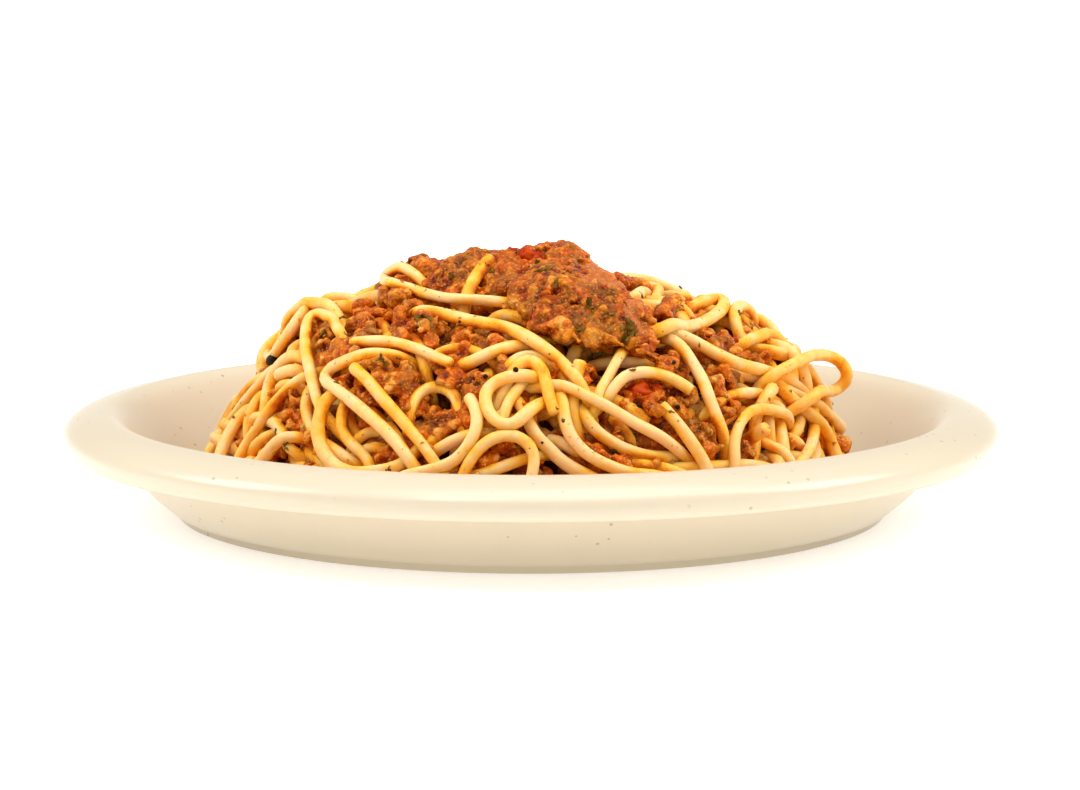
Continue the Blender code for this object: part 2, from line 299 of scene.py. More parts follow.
# The strands that show at the front, bottom ones first: layer, below 0 for one that stands off the heap,
# which ends show ("a" the first, "b" the last), points as listed (u, v) millimetres on view_ray's sheet,
# some with how much deeper they lie, and for some strands how much more sauce stains them.
FRONT_STRANDS = (
    (2, "", ((-43, 6), (-42.5, 1), (-41, -3))),
    (2, "", ((-40, -3), (-38, -1), (-35, -0.5), (-33, -2))),
    (2, "", ((-40, -5.5), (-37, -4), (-33.5, -4.5), (-31, -7), (-30, -11))),
    (2, "", ((-53, -4), (-52, -6.5), (-49.5, -8), (-46.5, -9))),
    (2, "a", ((-57, -4.5), (-56, -7), (-53, -9))),
    (2, "", ((1.5, 8.5), (-1, 6), (-3.5, 3.5), (-5.5, 1.5))),
    (2, "", ((38.5, 5), (36.5, 2), (35.5, -2))),
    (2, "", ((-9.5, 14), (-9.5, 9.5), (-8, 6))),
    (2, "", ((45, 2), (49, 4.5), (53, 4), (58, 0))),
    (2, "", ((8, 3), (10, -1), (11, -5))),
    (2, "", ((-62, 6), (-60, 2), (-61, -3), (-63, -9))),
    (2, "", ((-33, 12), (-31, 9), (-31, 5))),
    (2, "", ((24, 17), (29, 15), (29.5, 11))),
    (1, "", ((-54, 16), (-55, 11), (-58, 7))),
    (1, "", ((-40, 24), (-36.5, 25), (-33.5, 23.5), (-32, 20), (-33, 16))),
    (1, "", ((-27, 21), (-25, 18.5), (-24, 15))),
    (1, "", ((-20, 17), (-16, 18), (-12, 16.5))),
    (1, "", ((-43.5, 3.5), (-43.5, -0.5), (-41.5, -4), (-38.5, -6), (-36.5, -9), (-36, -13))),
    (1, "", ((-27, 3.5), (-25.5, 7), (-22.5, 9), (-19, 8.5), (-17, 5.5), (-16.5, 2))),
    (1, "", ((-22, -5.5), (-18, -3.5), (-14, -1.5))),
    (1, "a", ((-16, 13.5), (-12.5, 15), (-9, 16.5), (-4, 18.5))),
    (1, "", ((-5.5, 14), (-3, 16), (0.5, 16.5), (3.5, 15), (6, 12))),
    (1, "", ((0, 10), (-2.5, 8), (-5, 5), (-7, 2))),
    (1, "", ((-14, -11.5), (-9, -10.5), (-4.5, -9), (-0.5, -7.5))),
    (1, "", ((0.5, 1), (1.5, -2), (4, -5), (7.5, -8), (11.5, -10.5), (16, -12.5))),
    (1, "a", ((11, 14), (10.5, 11), (10.5, 7.5), (11, 3))),
    (1, "", ((19, 14), (17, 10.5), (15, 7), (13.5, 3.5))),
    (1, "b", ((15, 7), (19.5, 5), (23, 3), (25.5, 1))),
    (1, "", ((13, 2.5), (14.5, -0.5), (17.5, -3.5), (21.5, -6), (26, -7.5), (32, -8))),
    (1, "", ((25, -8), (31, -9.5), (36, -12))),
    (1, "", ((36, -9), (42, -9), (48, -9), (55, -10))),
    (1, "", ((42.5, 5.5), (46, 7), (50.5, 7), (55, 6), (58, 4))),
    (1, "", ((56.5, 2), (57, -3), (57.5, -10))),
    (1, "", ((40.5, 21.5), (41.5, 17.5), (43, 13))),
    (1, "", ((44, 24), (47.5, 21.5), (51, 18.5), (54, 14.5), (57, 10)), 0.25),
    (0.5, "b", ((15, 30.5), (18.5, 30.2), (23, 29.8), (28, 29), (33, 28.5), (36.5, 27))),
    (0.6, "", ((24, 28.3), (28, 27.3), (31.5, 26), (34, 24))),
    (1, "", ((-50, 21), (-52.5, 17), (-55, 14), (-57.5, 11), (-60, 7), (-61, 2))),
    (1, "", ((-50, 8.5), (-51.5, 4.5), (-51, 0.5), (-49, -3), (-46, -5))),
    (0, "", ((-51, 9.5), (-54, 7), (-57, 3.5), (-59.5, -0.5), (-62.5, -5), (-65, -10)), 0.2),
    (0, "", ((-60, 9), (-63, 6), (-65.5, 2), (-68, -2), (-71, -6), (-73, -10)), 0.3),
    (0, "", ((-42, 20), (-44, 23), (-47, 24), (-49.5, 22), (-50, 18), (-49.5, 13), (-48.5, 8), (-47, 3))),
    (0, "", ((-45.5, 5), (-47, 0.5), (-47, -4.5), (-44.5, -9), (-40, -11.5), (-34, -11), (-29, -9.5),
        (-25.5, -6))),
    (0, "", ((-37, 14.5), (-41, 13), (-44.5, 11.5), (-46, 9), (-44.5, 7), (-41, 5), (-36.5, 1.5),
        (-32.5, -2), (-29.5, -5.5), (-27, -10))),
    (0, "a", ((-39, 11.5), (-36.5, 9), (-33, 5), (-29, 0.5), (-25, -4.5), (-21.5, -9), (-18, -13.5))),
    (0, "ab", ((-39.2, 17.3), (-36, 17.8), (-31, 17.7), (-26, 16.4), (-22, 14.6), (-18.2, 12.9))),
    (-0.6, "a", ((-9.2, 34.3), (-11.5, 31.5), (-13.5, 28.5), (-15, 26, 2)), 0.4),
    (-0.5, "", ((-25, 32.5, 2), (-28, 33), (-30.5, 32.2), (-32.2, 30.4), (-30.5, 29), (-26.5, 27.6),
        (-22, 26.6), (-17, 26, 0.3), (-11, 26.3, 0.8), (-6.5, 27.5, 3), (-3, 29, 6))),
    (0.6, "", ((-6, 25), (-3, 24.6, 1), (0, 24, 4), (3, 23.5, 9)), 0.4),
    (0, "", ((-24, 24.5), (-18, 23.5), (-12, 22), (-6, 21), (-1.5, 19), (2.5, 16.5), (6, 13.5), (9, 10))),
    (0, "b", ((-4, 10.5), (-2.5, 13), (0, 13.5), (2, 12), (3.5, 8.5), (4.5, 5), (5.5, 2))),
    (0, "", ((-5, 9.5), (-8.5, 8.5), (-10.5, 6.5), (-10.5, 3.5), (-9.5, 1), (-7, -1), (-4, -1.5),
        (-1.5, 1))),
    (0, "a", ((-13.5, 5), (-12, 2.5), (-12, -1.5), (-13.5, -5), (-16, -8.5), (-20, -10.5), (-25, -11))),
    (0, "", ((-15.5, -12), (-13.5, -8), (-10.5, -5), (-6.5, -3), (-2.5, -3.5), (0.5, -6), (1, -9),
        (0, -13))),
    (0, "", ((7, 4.5), (7.5, 0.5), (9, -3.5), (12, -7), (16.5, -9.5), (22, -11.5), (28, -12))),
    (0, "", ((5, 8.5), (9.5, 7), (14, 4.5), (18.5, 2), (22.5, -0.5), (28, -3.5))),
    (0, "b", ((18, 7.5), (20.5, 10), (25, 11), (29.5, 10), (33, 8.5), (35, 7))),
    (0, "", ((33, 18), (35.5, 13.5), (38, 9), (39.5, 5), (41.5, 0.5), (43.5, -4))),
    (0, "a", ((29, 3), (32.5, -1), (35.5, -5), (38, -9), (39.5, -12.5))),
    (0, "", ((45, -10), (44.5, -5), (46, -1), (48.5, 2), (52, 2.5), (56, 1.5))),
    (0, "", ((34, 19.5), (39, 16), (44.5, 13), (50.5, 11), (56, 9), (60, 6), (62.5, 1.5), (62.5, -3.5),
        (60.5, -9))),
    (0, "", ((49, 18), (53, 18.5), (56, 16.5), (57.5, 13), (58, 9)), 0.25),
    (0, "", ((22, 21, 7), (26, 20.5, 2), (30.5, 20.5), (35.5, 21), (40, 23), (42.5, 25.5), (40.5, 27),
        (36, 25.5)), 0.15),
    (-0.6, "a", ((51.5, -3), (51.4, -3.2, 5), (51.2, -3.4, 10)), -0.1),
    (-0.8, "a", ((-66.3, -1.5), (-65.8, -2, 5), (-65, -2.5, 10)), -0.1),
    (-0.8, "a", ((-68.3, -5), (-67.3, -5.4, 5), (-66.3, -6, 10)), -0.1),
    (-1, "", ((55, 9.5), (59.5, 12), (63.5, 12.5), (67, 10.5), (67.5, 7.5), (64.5, 5), (60, 4)), 0.2),
)


def dive(place, along, out):
    """Points that carry a strand's end on and down into the heap."""
    along = along / np.linalg.norm(along)
    return [place + along * reach * MM - out * sink * MM for reach, sink in ((4, 2.0), (7.5, 5.5), (10, 10))]


def front_strand(dome, layer, shown, points):
    seen = [on_dome(dome, *point[:2]) for point in points]
    depth = STRAND_RADIUS + LAYER * layer
    places = [place - out * (depth + sum(point[2:]) * MM) for point, (place, out) in zip(points, seen)]
    if "a" not in shown:
        places = dive(places[0], places[0] - places[1], seen[0][1])[::-1] + places
    if "b" not in shown:
        places += dive(places[-1], places[-1] - places[-2], seen[-1][1])
    return smoothed(catmull_rom(places, STRAND_STEP), 2)


def bend_plan(rng, count, step):
    """How a wandering strand turns, in radians a step: long gentle arcs, some rounder ones and a few
    tight loops."""
    turns = []
    while len(turns) < count:
        kind = rng.random()
        if kind < 0.5:
            radius, length = rng.uniform(25, 80), rng.uniform(18, 45)
        elif kind < 0.85:
            radius, length = rng.uniform(11, 22), rng.uniform(12, 28)
        else:
            radius, length = rng.uniform(6.5, 9), rng.uniform(10, 22)
        side = rng.choice((-1, 1))
        turns += [side * step / (radius * MM)] * int(length * MM / step)
    kernel = np.ones(5) / 5
    return np.convolve(turns[:count], kernel, mode="same")


def wander(dome, rng, place, heading, length, depth, foot):
    """A strand that wanders under the dome's surface, depth below it, and turns back before the heap's
    foot."""
    step = STRAND_STEP
    count = int(length / step)
    turns = bend_plan(rng, count, step)
    wave = rng.uniform(0, FULL_TURN, 2)
    place, heading = Vector(place), Vector(heading)
    places, outs = [], []
    for i in range(count):
        point, normal = dome.nearest(place)
        heading = (heading - normal * heading.dot(normal)).normalized()
        turn = turns[i]
        if point.z < foot and heading.z < 0.25:
            side = normal.cross(heading)
            turn = math.copysign(step / (9 * MM), side.z)
        heading = (heading + normal.cross(heading) * turn).normalized()
        along = i * step
        sway = 0.7 * MM * math.sin(along / (8 * MM) + wave[0])
        sway += 0.5 * MM * math.sin(along / (3.7 * MM) + wave[1])
        end = max(0.0, 1 - min(i, count - 1 - i) * step / (9 * MM))
        front = min(1.0, max(0.0, (-point.y - 8 * MM) / (14 * MM)))
        front *= min(1.0, max(0.0, (52 * MM - abs(point.x)) / (8 * MM)))
        sink = depth + sway + end * 6 * MM + 6 * MM * (point.y < -8 * MM and hollow(point))
        if depth < 6 * MM:
            sink += front * (13 * MM - depth)
        places.append(np.array(point - normal * sink))
        outs.append(normal)
        place = point + heading * step
    return smoothed(np.array(places), 2)


def foot_strands(dome, rng):
    """Strands that run round the heap's foot in front, below the plate's rim."""
    strands = []
    for i in range(34):
        middle = math.radians(195 + 150 * (i + rng.random()) / 34)
        half = rng.uniform(12, 30) / 70
        height, rise = rng.uniform(9, 15), rng.uniform(-4, 4)
        depth, wave = rng.uniform(1.6, 4.5), rng.uniform(0, 6)
        places = []
        for share in np.linspace(-1, 1, 11):
            z = min(height + rise * share + 1.5 * math.sin(share * 4 + wave), 16)
            point, normal = dome.nearest((*around(middle + share * half, 76 * MM), z * MM))
            places.append(np.array(point - normal * (depth + 8 * share**6) * MM))
        strands.append(catmull_rom(places, STRAND_STEP))
    return strands


def any_heading(rng):
    return *around(rng.uniform(0, FULL_TURN), 1.0), rng.uniform(-0.5, 0.5)


def wandering_strands(dome, rng):
    """Strands all over the heap in three layers, the deepest first, and some more behind."""
    strands = []
    golden = math.pi * (3 - math.sqrt(5))
    for number, (count, depth, length) in enumerate(((14, 6.5, 125), (44, 4.2, 115), (38, 1.9, 110))):
        for i in range(count):
            reach = 72 * MM * math.sqrt((i + 0.5) / count) ** 0.7
            start = dome.nearest((*around(i * golden + number, reach), 60 * MM - reach * 0.5))[0]
            heading = any_heading(rng)
            long = length * rng.uniform(0.6, 1.4) * MM
            strands.append(wander(dome, rng, start, heading, long, depth * MM, 12 * MM))
    for i in range(22):
        place = around(math.pi * (i + 0.5) / 22, 66 * MM)
        start = dome.nearest((*place, rng.uniform(15, 40) * MM))[0]
        strands.append(wander(dome, rng, start, any_heading(rng), 70 * MM, 3.2 * MM, 10 * MM))
    return strands


# ---------------------------------------------------------------- strands: solving contacts

def close_pairs(places, reach):
    """All pairs of places that are closer than reach."""
    cell = np.floor(places / reach).astype(np.int64)
    cell -= cell.min(0) - 1
    size = cell.max(0) + 2
    key = (cell[:, 0] * size[1] + cell[:, 1]) * size[2] + cell[:, 2]
    order = np.argsort(key, kind="stable")
    in_order = key[order]
    first, second = [], []
    for x, y, z in itertools.product((-1, 0, 1), repeat=3):
        shift = (x * size[1] + y) * size[2] + z
        if shift < 0:
            continue
        low = np.searchsorted(in_order, key + shift, "left")
        counts = np.searchsorted(in_order, key + shift, "right") - low
        one = np.repeat(np.arange(len(key)), counts)
        within = np.arange(counts.sum()) - np.repeat(np.cumsum(counts) - counts, counts)
        two = order[np.repeat(low, counts) + within]
        near = ((places[one] - places[two]) ** 2).sum(1) < reach * reach
        if shift == 0:
            near &= one < two
        first.append(one[near])
        second.append(two[near])
    return np.concatenate(first), np.concatenate(second)


def spread(values, before, after, times):
    """Evens out values along each strand."""
    for _ in range(times):
        values = 0.5 * values + 0.25 * (values[before] + values[after])
    return values


def settle(strands, radii, stiffness, dome, floor, rounds):
    """Moves strands out of each other, and keeps them under the dome and on the plate. stiffness is how
    hard each one holds its place, and below nought for one that may stand off."""
    home = np.vstack(strands)
    which = np.repeat(np.arange(len(strands)), [len(strand) for strand in strands])
    number = np.concatenate([np.arange(len(strand)) for strand in strands])
    thick = np.asarray(radii)[which]
    free = np.asarray(stiffness)[which] < 0
    hold = np.clip(np.asarray(stiffness)[which], 0, None)[:, None]
    give = 1 / (0.3 + 20 * hold[:, 0])
    rows = np.arange(len(home))
    before = np.where(number == 0, rows, rows - 1)
    last = np.concatenate([which[1:] != which[:-1], [True]])
    after = np.where(last, rows, rows + 1)
    moved = np.zeros_like(home)
    for turn in range(rounds):
        places = home + moved
        if turn % 3 == 0:
            one, two = close_pairs(places, 2 * max(radii) * 1.2)
            other = (which[one] != which[two]) | (np.abs(number[one] - number[two]) > 4)
            one, two = one[other], two[other]
        gap = places[one] - places[two]
        distance = np.linalg.norm(gap, axis=1) + 1e-9
        push = np.clip((thick[one] + thick[two]) * 0.97 - distance, 0, None)
        share = give[one] / (give[one] + give[two])
        shove = gap / distance[:, None] * push[:, None]
        total = np.zeros_like(home)
        hits = np.zeros(len(home))
        for rows_of, amount, sign in ((one, share, 1), (two, 1 - share, -1)):
            touching = push > 0
            np.add.at(total, rows_of[touching], sign * shove[touching] * amount[touching, None])
            np.add.at(hits, rows_of[touching], 1)
        total /= np.maximum(1, hits * 0.5)[:, None]
        moved += total
        if turn % 8 == 4 or turn == rounds - 1:
            places = home + moved
            depth, out = dome.depths(places)
            over = np.clip(thick * 0.8 - depth, 0, 4 * MM) * (depth < 8 * MM)
            over[free] = 0
            moved -= out * over[:, None] * 0.5
        places = home + moved
        radius = np.hypot(places[:, 0], places[:, 1])
        low = np.interp(radius, *floor) + thick
        moved[:, 2] += np.clip(low - places[:, 2], 0, None)
        moved = spread(moved, before, after, 2)
        moved *= 1 - hold * 0.4
    done = home + moved
    cuts = np.cumsum([len(strand) for strand in strands])[:-1]
    return np.split(done, cuts)


# ---------------------------------------------------------------- strands: meshes

def frames_along(points):
    """Two directions across a line at each of its points, without twist."""
    ways = np.gradient(points, axis=0)
    ways /= np.linalg.norm(ways, axis=1)[:, None]
    side = np.cross(ways[0], (0.3, 0.2, 1.0))
    sides = []
    for way in ways:
        side = side - way * side.dot(way)
        side /= np.linalg.norm(side)
        sides.append(side)
    sides = np.array(sides)
    return sides, np.cross(ways, sides), ways


def tube(points, radius, rng):
    """Corners and faces of a strand, round, a little uneven and with blunt cut ends, and the middle of
    each of its rings."""
    points = even(points, RING_STEP)
    sides, tops, ways = frames_along(points)
    count = len(points)
    along = np.arange(count) * RING_STEP
    wave = rng.uniform(0, FULL_TURN, 3)
    thick = 1 + 0.035 * np.sin(along / (5 * MM) + wave[0]) + 0.02 * np.sin(along / (1.9 * MM) + wave[1])
    thick = radius * thick
    flat = 1 + 0.05 * np.sin(along / (9 * MM) + wave[2])
    angles = np.arange(RING_SIDES)[:, None] * FULL_TURN / RING_SIDES
    rings = []
    start, end = ((0, 0.55, -0.5), (0, 0.88, -0.42)), ((count - 1, 0.88, 0.42), (count - 1, 0.55, 0.5))
    for i, size, shift in (*start, *((i, 1.0, 0.0) for i in range(count)), *end):
        across = np.cos(angles) * sides[i] * thick[i] * size * flat[i]
        up = np.sin(angles) * tops[i] * thick[i] * size / flat[i]
        rings.append(points[i] + ways[i] * (shift * radius) + across + up)
    last = (len(rings) - 1) * RING_SIDES
    ends = tuple(range(RING_SIDES))[::-1], tuple(range(last, last + RING_SIDES))
    centres = np.vstack([points[[0, 0]], points, points[[-1, -1]]])
    return np.vstack(rings), [*ring_faces(len(rings), RING_SIDES), *ends], centres


def strand_shades(dome, tubes, stains, lumps, rng):
    """How much sauce each corner of each strand holds, with painted shade: more where it runs deep, faces
    its neighbours or faces away from the heap's outside, which paints the shade between and under strands as
    deeper orange, and real sauce where it touches a lump of sauce. Each strand has its own stain too."""
    corners, _, centres = zip(*tubes)
    spots, sizes, _ = zip(*lumps)
    counts = [len(line) for line in centres]
    centres = np.vstack(centres)
    which = np.repeat(np.arange(len(tubes)), counts)
    corners = np.vstack(corners).reshape(len(centres), RING_SIDES, 3)
    ways = corners - centres[:, None]
    ways /= np.linalg.norm(ways, axis=2)[:, :, None] + 1e-9
    reach = 5.5 * MM
    places = np.vstack([centres, spots])
    thick = np.concatenate([np.zeros(len(centres)), sizes])
    one, two = close_pairs(places, reach)
    one, two = np.concatenate([one, two]), np.concatenate([two, one])
    owner = np.concatenate([which, np.full(len(spots), -1)])
    keep = (one < len(centres)) & (owner[one] != owner[two])
    one, two = one[keep], two[keep]
    gap = places[two] - places[one]
    distance = np.linalg.norm(gap, axis=1) + 1e-9
    bulk = np.where(thick[two] > 0, 0.12 * thick[two] / MM, 0.09)
    bulk = bulk * np.clip((reach - distance) / (3 * MM), 0, 1)
    touch = (thick[two] > 0) * np.clip((thick[two] + 2.6 * MM - distance) / (1.3 * MM), 0, 1)
    crowding_shade, wet = np.empty((2, len(centres), RING_SIDES))
    for k in range(RING_SIDES):
        faced = (ways[one, k] * gap).sum(1) / distance
        crowding_shade[:, k] = np.bincount(one, np.clip(faced + 0.25, 0, None) * bulk, len(centres))
        wet[:, k] = np.bincount(one, np.clip(faced, 0, None) * touch, len(centres))
    few = np.arange(0, len(centres), 4)
    depth, out = dome.depths(centres[few])
    rows = np.arange(len(centres))
    depth = np.interp(rows, few, depth)
    out = np.stack([np.interp(rows, few, out[:, k]) for k in range(3)], 1)
    facing = (ways * out[:, None]).sum(2)
    own = (rng.normal(0, 0.12, len(tubes)) + stains)[which]
    # Painted shade: crowding, depth and facing away from the heap's outside stand for the shade that falls
    # between and under strands; wet is real sauce.
    shades = np.clip(crowding_shade, 0, 1) * 0.6 + (np.clip((depth - 2 * MM) / (8 * MM), 0, 1) * 0.3 + own)[:, None]
    shades += np.clip(0.6 - facing, 0, 1) * 0.4
    shades = np.minimum(shades, 0.36) + np.clip(wet, 0, 1) * 0.5
    return np.split(shades.ravel(), np.cumsum(counts)[:-1] * RING_SIDES)


# ---------------------------------------------------------------- materials

class Surface:
    """A material, or the world, under construction."""

    def __init__(self, owner, shader="Principled BSDF", place="Object"):
        owner.use_nodes = True
        self.owner = owner
        self.tree = owner.node_tree
        self.shader = self.tree.nodes[shader]
        self.place = self.add("ShaderNodeTexCoord").outputs[place]

    def add(self, kind, inputs=(), **settings):
        """A new node, with a value or the output of another node on some of its inputs."""
        made = self.tree.nodes.new(kind)
        for key, value in settings.items():
            setattr(made, key, value)
        for key, value in dict(inputs).items():
            self.link(value, made.inputs[key])
        return made

    def link(self, source, target):
        if hasattr(source, "is_output"):
            self.tree.links.new(source, target)
        else:
            target.default_value = source

    def set(self, **values):
        for key, value in values.items():
            self.link(value, self.shader.inputs[key.replace("_", " ")])

    def math(self, operation, *values):
        return self.add("ShaderNodeMath", enumerate(values), operation=operation).outputs[0]

    def times(self, first, second):
        return self.math("MULTIPLY", first, second)

    def total(self, *values):
        return functools.reduce(lambda first, second: self.math("ADD", first, second), values)

    def noise(self, size, detail=2.0, roughness=0.5, seed=0.0):
        """Cloudy noise whose patches are about size metres across."""
        inputs = {"Vector": self.place, "W": seed, "Scale": 0.5 / size}
        inputs |= {"Detail": detail, "Roughness": roughness}
        return self.add("ShaderNodeTexNoise", inputs, noise_dimensions="4D").outputs["Fac"]

    def ripple(self, height, *sizes, **settings):
        """Noise to both sides of nought."""
        return self.times(self.math("SUBTRACT", self.noise(*sizes, **settings), 0.5), height)

    def cells(self, size, output="Distance"):
        return self.add("ShaderNodeTexVoronoi", {"Vector": self.place, "Scale": 1 / size}).outputs[output]

    def flecks(self, pitch, size, share):
        """1 on small dots, pitch apart and size pitches across, in share of the cells."""
        kept = self.math("GREATER_THAN", self.cells(pitch, "Color"), 1 - share)
        return self.times(self.band(self.cells(pitch), size * 1.2, size * 0.8), kept)

    def band(self, value, low, high, first=0.0, last=1.0, kind="SMOOTHSTEP"):
        """first where value is low, last where it is high, and between them in between."""
        inputs = {"Value": value, "From Min": low, "From Max": high, "To Min": first, "To Max": last}
        return self.add("ShaderNodeMapRange", inputs, interpolation_type=kind).outputs["Result"]

    def mix(self, share, first, second):
        """first where share is 0 and second where it is 1."""
        first, second = (end if hasattr(end, "is_output") else (*end, 1.0) for end in (first, second))
        inputs = {"Factor": share, "A": first, "B": second}
        return self.add("ShaderNodeMix", inputs, data_type="RGBA").outputs["Result"]

    def ramp(self, value, *stops):
        """The colour that value has between stops of (value, colour)."""
        low, high = stops[0][0], stops[-1][0]
        made = self.add("ShaderNodeValToRGB", {"Fac": self.band(value, low, high, kind="LINEAR")})
        line = made.color_ramp.elements
        for i, (at, colour) in enumerate(stops):
            stop = line[i] if i < 2 else line.new(1.0)
            stop.position, stop.color = (at - low) / (high - low), (*colour, 1.0)
        return made.outputs["Color"]

    def shade(self, name):
        return self.add("ShaderNodeAttribute", attribute_name=name).outputs["Fac"]

    def bump(self, height, strength, distance):
        made = self.add("ShaderNodeBump", {"Height": height, "Strength": strength, "Distance": distance})
        self.link(made.outputs["Normal"], self.shader.inputs["Normal"])


def pasta_material():
    """Cooked pasta: pale yellow, a little clear, under oil and orange sauce that gather where shade is high,
    where high shade also paints the shade between and under strands as deeper orange, with grit, dots of
    sauce and fine flecks."""
    made = Surface(bpy.data.materials.new("cooked_pasta"))
    film_and_painted_shade = made.total(
        made.shade("shade"),
        made.ripple(2.2, 5 * MM, 3.0, 0.6),
        made.ripple(1.2, 1.8 * MM, 4.0, 0.65, seed=3.0),
        made.times(made.noise(0.7 * MM, 3.0, 0.7, seed=6.0), -0.12),
        0.46,
    )
    # Pale pasta to deep orange-brown: real oil and sauce, and painted shade where strands lie crowded or
    # deep.
    colour = made.ramp(film_and_painted_shade, (0.3, (0.89, 0.575, 0.255)), (0.6, (0.89, 0.51, 0.13)),
                       (0.95, (0.92, 0.40, 0.02)), (1.5, (0.55, 0.10, 0.002)))
    grit = made.times(made.band(made.cells(0.55 * MM), 0.42, 0.2), made.band(film_and_painted_shade, 0.8, 1.3))
    colour = made.mix(made.times(grit, 0.5), colour, (0.52, 0.14, 0.010))
    smeared = made.band(made.noise(7 * MM, 2.0, seed=9.0), 0.46, 0.6)
    dots = made.times(made.flecks(1.2 * MM, 0.24, 0.4), smeared)
    colour = made.mix(made.times(dots, 0.6), colour, (0.78, 0.25, 0.012))
    fleck = made.flecks(1.9 * MM, 0.10, 0.3)
    colour = made.mix(fleck, colour, (0.30, 0.13, 0.015))
    made.set(Base_Color=colour, Roughness=0.42, Subsurface_Weight=0.6, Subsurface_Scale=3 * MM,
             Subsurface_Radius=(1.0, 0.35, 0.08),
             Specular_IOR_Level=0.25, Specular_Tint=(1.0, 0.78, 0.45, 1.0))
    grains = made.times(made.total(grit, fleck), 0.8)
    made.bump(made.total(made.noise(0.8 * MM, 2.0), grains), 0.55, 0.25 * MM)
    return made.owner


def sauce_material(name, tone):
    """Moist minced meat, brown where shade is low, in tomato sauce, redder where it is high, with painted
    shade in the hollows of its relief and painted light on the bumps, partly a painted sheen where it is
    smooth, and pale grains. tone darkens it as painted shade."""
    made = Surface(bpy.data.materials.new(name))
    own, pale = made.shade("shade"), made.shade("pale")
    fine = made.ripple(0.9, 0.45 * MM, 3.0, 0.7, seed=5.0)
    level = made.total(made.shade("relief"), fine, made.ripple(1.3, 3.5 * MM, 2.0, seed=7.0), -0.06)
    # Painted shade and light: the ramps run dark in the relief's hollows to light on its bumps, with noise
    # as random tone.
    brown, red = (made.ramp(level, *zip((0.1, 0.45, 0.8), colours)) for colours in (
        ((0.10, 0.005, 0.0002), (0.38, 0.080, 0.002), (0.62, 0.185, 0.010)),
        ((0.12, 0.005, 0.0002), (0.43, 0.060, 0.001), (0.64, 0.14, 0.004)),
    ))
    redness = made.total(own, made.times(made.noise(2.0 * MM, 3.0, 0.65), 0.5))
    colour = made.mix(made.band(redness, 0.45, 0.95), brown, red)
    # Painted light on the bumps, together with the pale grains.
    painted_light_and_pale = made.band(made.total(level, made.times(pale, 0.35)), 0.85, 1.3)
    colour = made.mix(painted_light_and_pale, colour, made.mix(pale, (0.68, 0.23, 0.018), (0.84, 0.42, 0.09)))
    # Smooth sauce: paler, partly its own colour and partly a painted sheen.
    smooth = made.band(made.total(own, made.times(fine, 0.5)), 1.1, 1.5)
    dark = made.band(made.noise(2.6 * MM, 4.0, 0.65, seed=11.0), 0.51, 0.62)
    # The tomato too is darker in hollows, as painted shade.
    tomato = made.mix(made.band(level, 0.2, 0.9), (0.26, 0.012, 0.0004), (0.68, 0.09, 0.003))
    for share, over in (
        (made.times(smooth, 0.55), (0.56, 0.19, 0.05)),
        (made.times(made.band(own, -0.1, -0.5), 0.5), (0.76, 0.34, 0.05)),
        (made.times(dark, 0.6), (0.19, 0.060, 0.005)),
        (made.flecks(1.5 * MM, 0.2, 0.16), (0.07, 0.035, 0.003)),
        # Pale grains of mince, which also stand in as painted glints.
        (made.times(made.flecks(0.75 * MM, 0.33, 0.4), 0.35), (0.84, 0.42, 0.08)),
        (made.band(own, 1.7, 1.9), tomato),
        # Painted shade: tone darkens the core, which shows only in the hollows.
        (tone, (0.05, 0.005, 0.0005)),
    ):
        colour = made.mix(share, colour, over)
    made.set(Base_Color=colour, Roughness=0.12, Subsurface_Weight=0.08, Subsurface_Scale=1 * MM,
             Subsurface_Radius=(1.0, 0.3, 0.08),
             Specular_IOR_Level=0.3, Specular_Tint=(1.0, 0.64, 0.28, 1.0))
    made.bump(made.math("SUBTRACT", made.noise(0.5 * MM, 2.0, 0.6), made.cells(0.6 * MM)), 0.9, 0.28 * MM)
    return made.owner


def garnish_material(name, first, second, roughness):
    """Herb, tomato, pepper or crumbs."""
    made = Surface(bpy.data.materials.new(name))
    colour = made.mix(made.band(made.noise(0.9 * MM, 3.0), 0.35, 0.65), first, second)
    made.set(Base_Color=colour, Roughness=roughness,
             Specular_IOR_Level=0.12, Specular_Tint=(1.0, 0.8, 0.5, 1.0))
    made.bump(made.noise(0.4 * MM, 2.0), 0.4, 0.2 * MM)
    return made.owner


def glaze_material():
    """Cream glaze with a few specks, and orange oil where shade is high."""
    made = Surface(bpy.data.materials.new("cream_glaze"))
    colour = made.mix(made.noise(40 * MM, 2.0), (0.635, 0.542, 0.388), (0.665, 0.568, 0.415))
    smears = made.band(made.noise(4 * MM, 3.0, 0.6, seed=2.0), 0.35, 0.7)
    colour = made.mix(made.times(smears, made.shade("shade")), colour, (0.74, 0.50, 0.22))
    clusters = made.band(made.noise(25 * MM, 1.0, seed=4.0), 0.48, 0.6)
    specks = made.times(made.flecks(2.6 * MM, 0.15, 0.4), clusters)
    colour = made.mix(made.times(specks, 0.7), colour, (0.30, 0.22, 0.10))
    made.set(Base_Color=colour, Roughness=0.28)
    return made.owner


# ---------------------------------------------------------------- the plate

def plate_section(plate):
    """The CAD plate's half section as (radius, height), from the middle of its floor to that of its
    underside."""
    shape = bmesh.new()
    shape.from_mesh(plate.data)
    bmesh.ops.remove_doubles(shape, verts=shape.verts, dist=0.01 * MM)
    thin = 0.01 * MM
    cut = [edge for edge in shape.edges if all(abs(c.co.y) < thin and c.co.x > -thin for c in edge.verts)]
    corners = [corner for edge in cut for corner in edge.verts]
    here = max((corner for corner in corners if corners.count(corner) == 1), key=lambda corner: corner.co.z)
    section, used = [(0.0, 0.0, here.co.z)], set()
    while here is not None:
        section.append((here.co.x, 0.0, here.co.z))
        ways = [edge for edge in cut if here in edge.verts and edge not in used]
        used.update(ways)
        here = ways[0].other_vert(here) if ways else None
    section.append((0.0, 0.0, section[-1][2]))
    shape.free()
    return np.array(section)


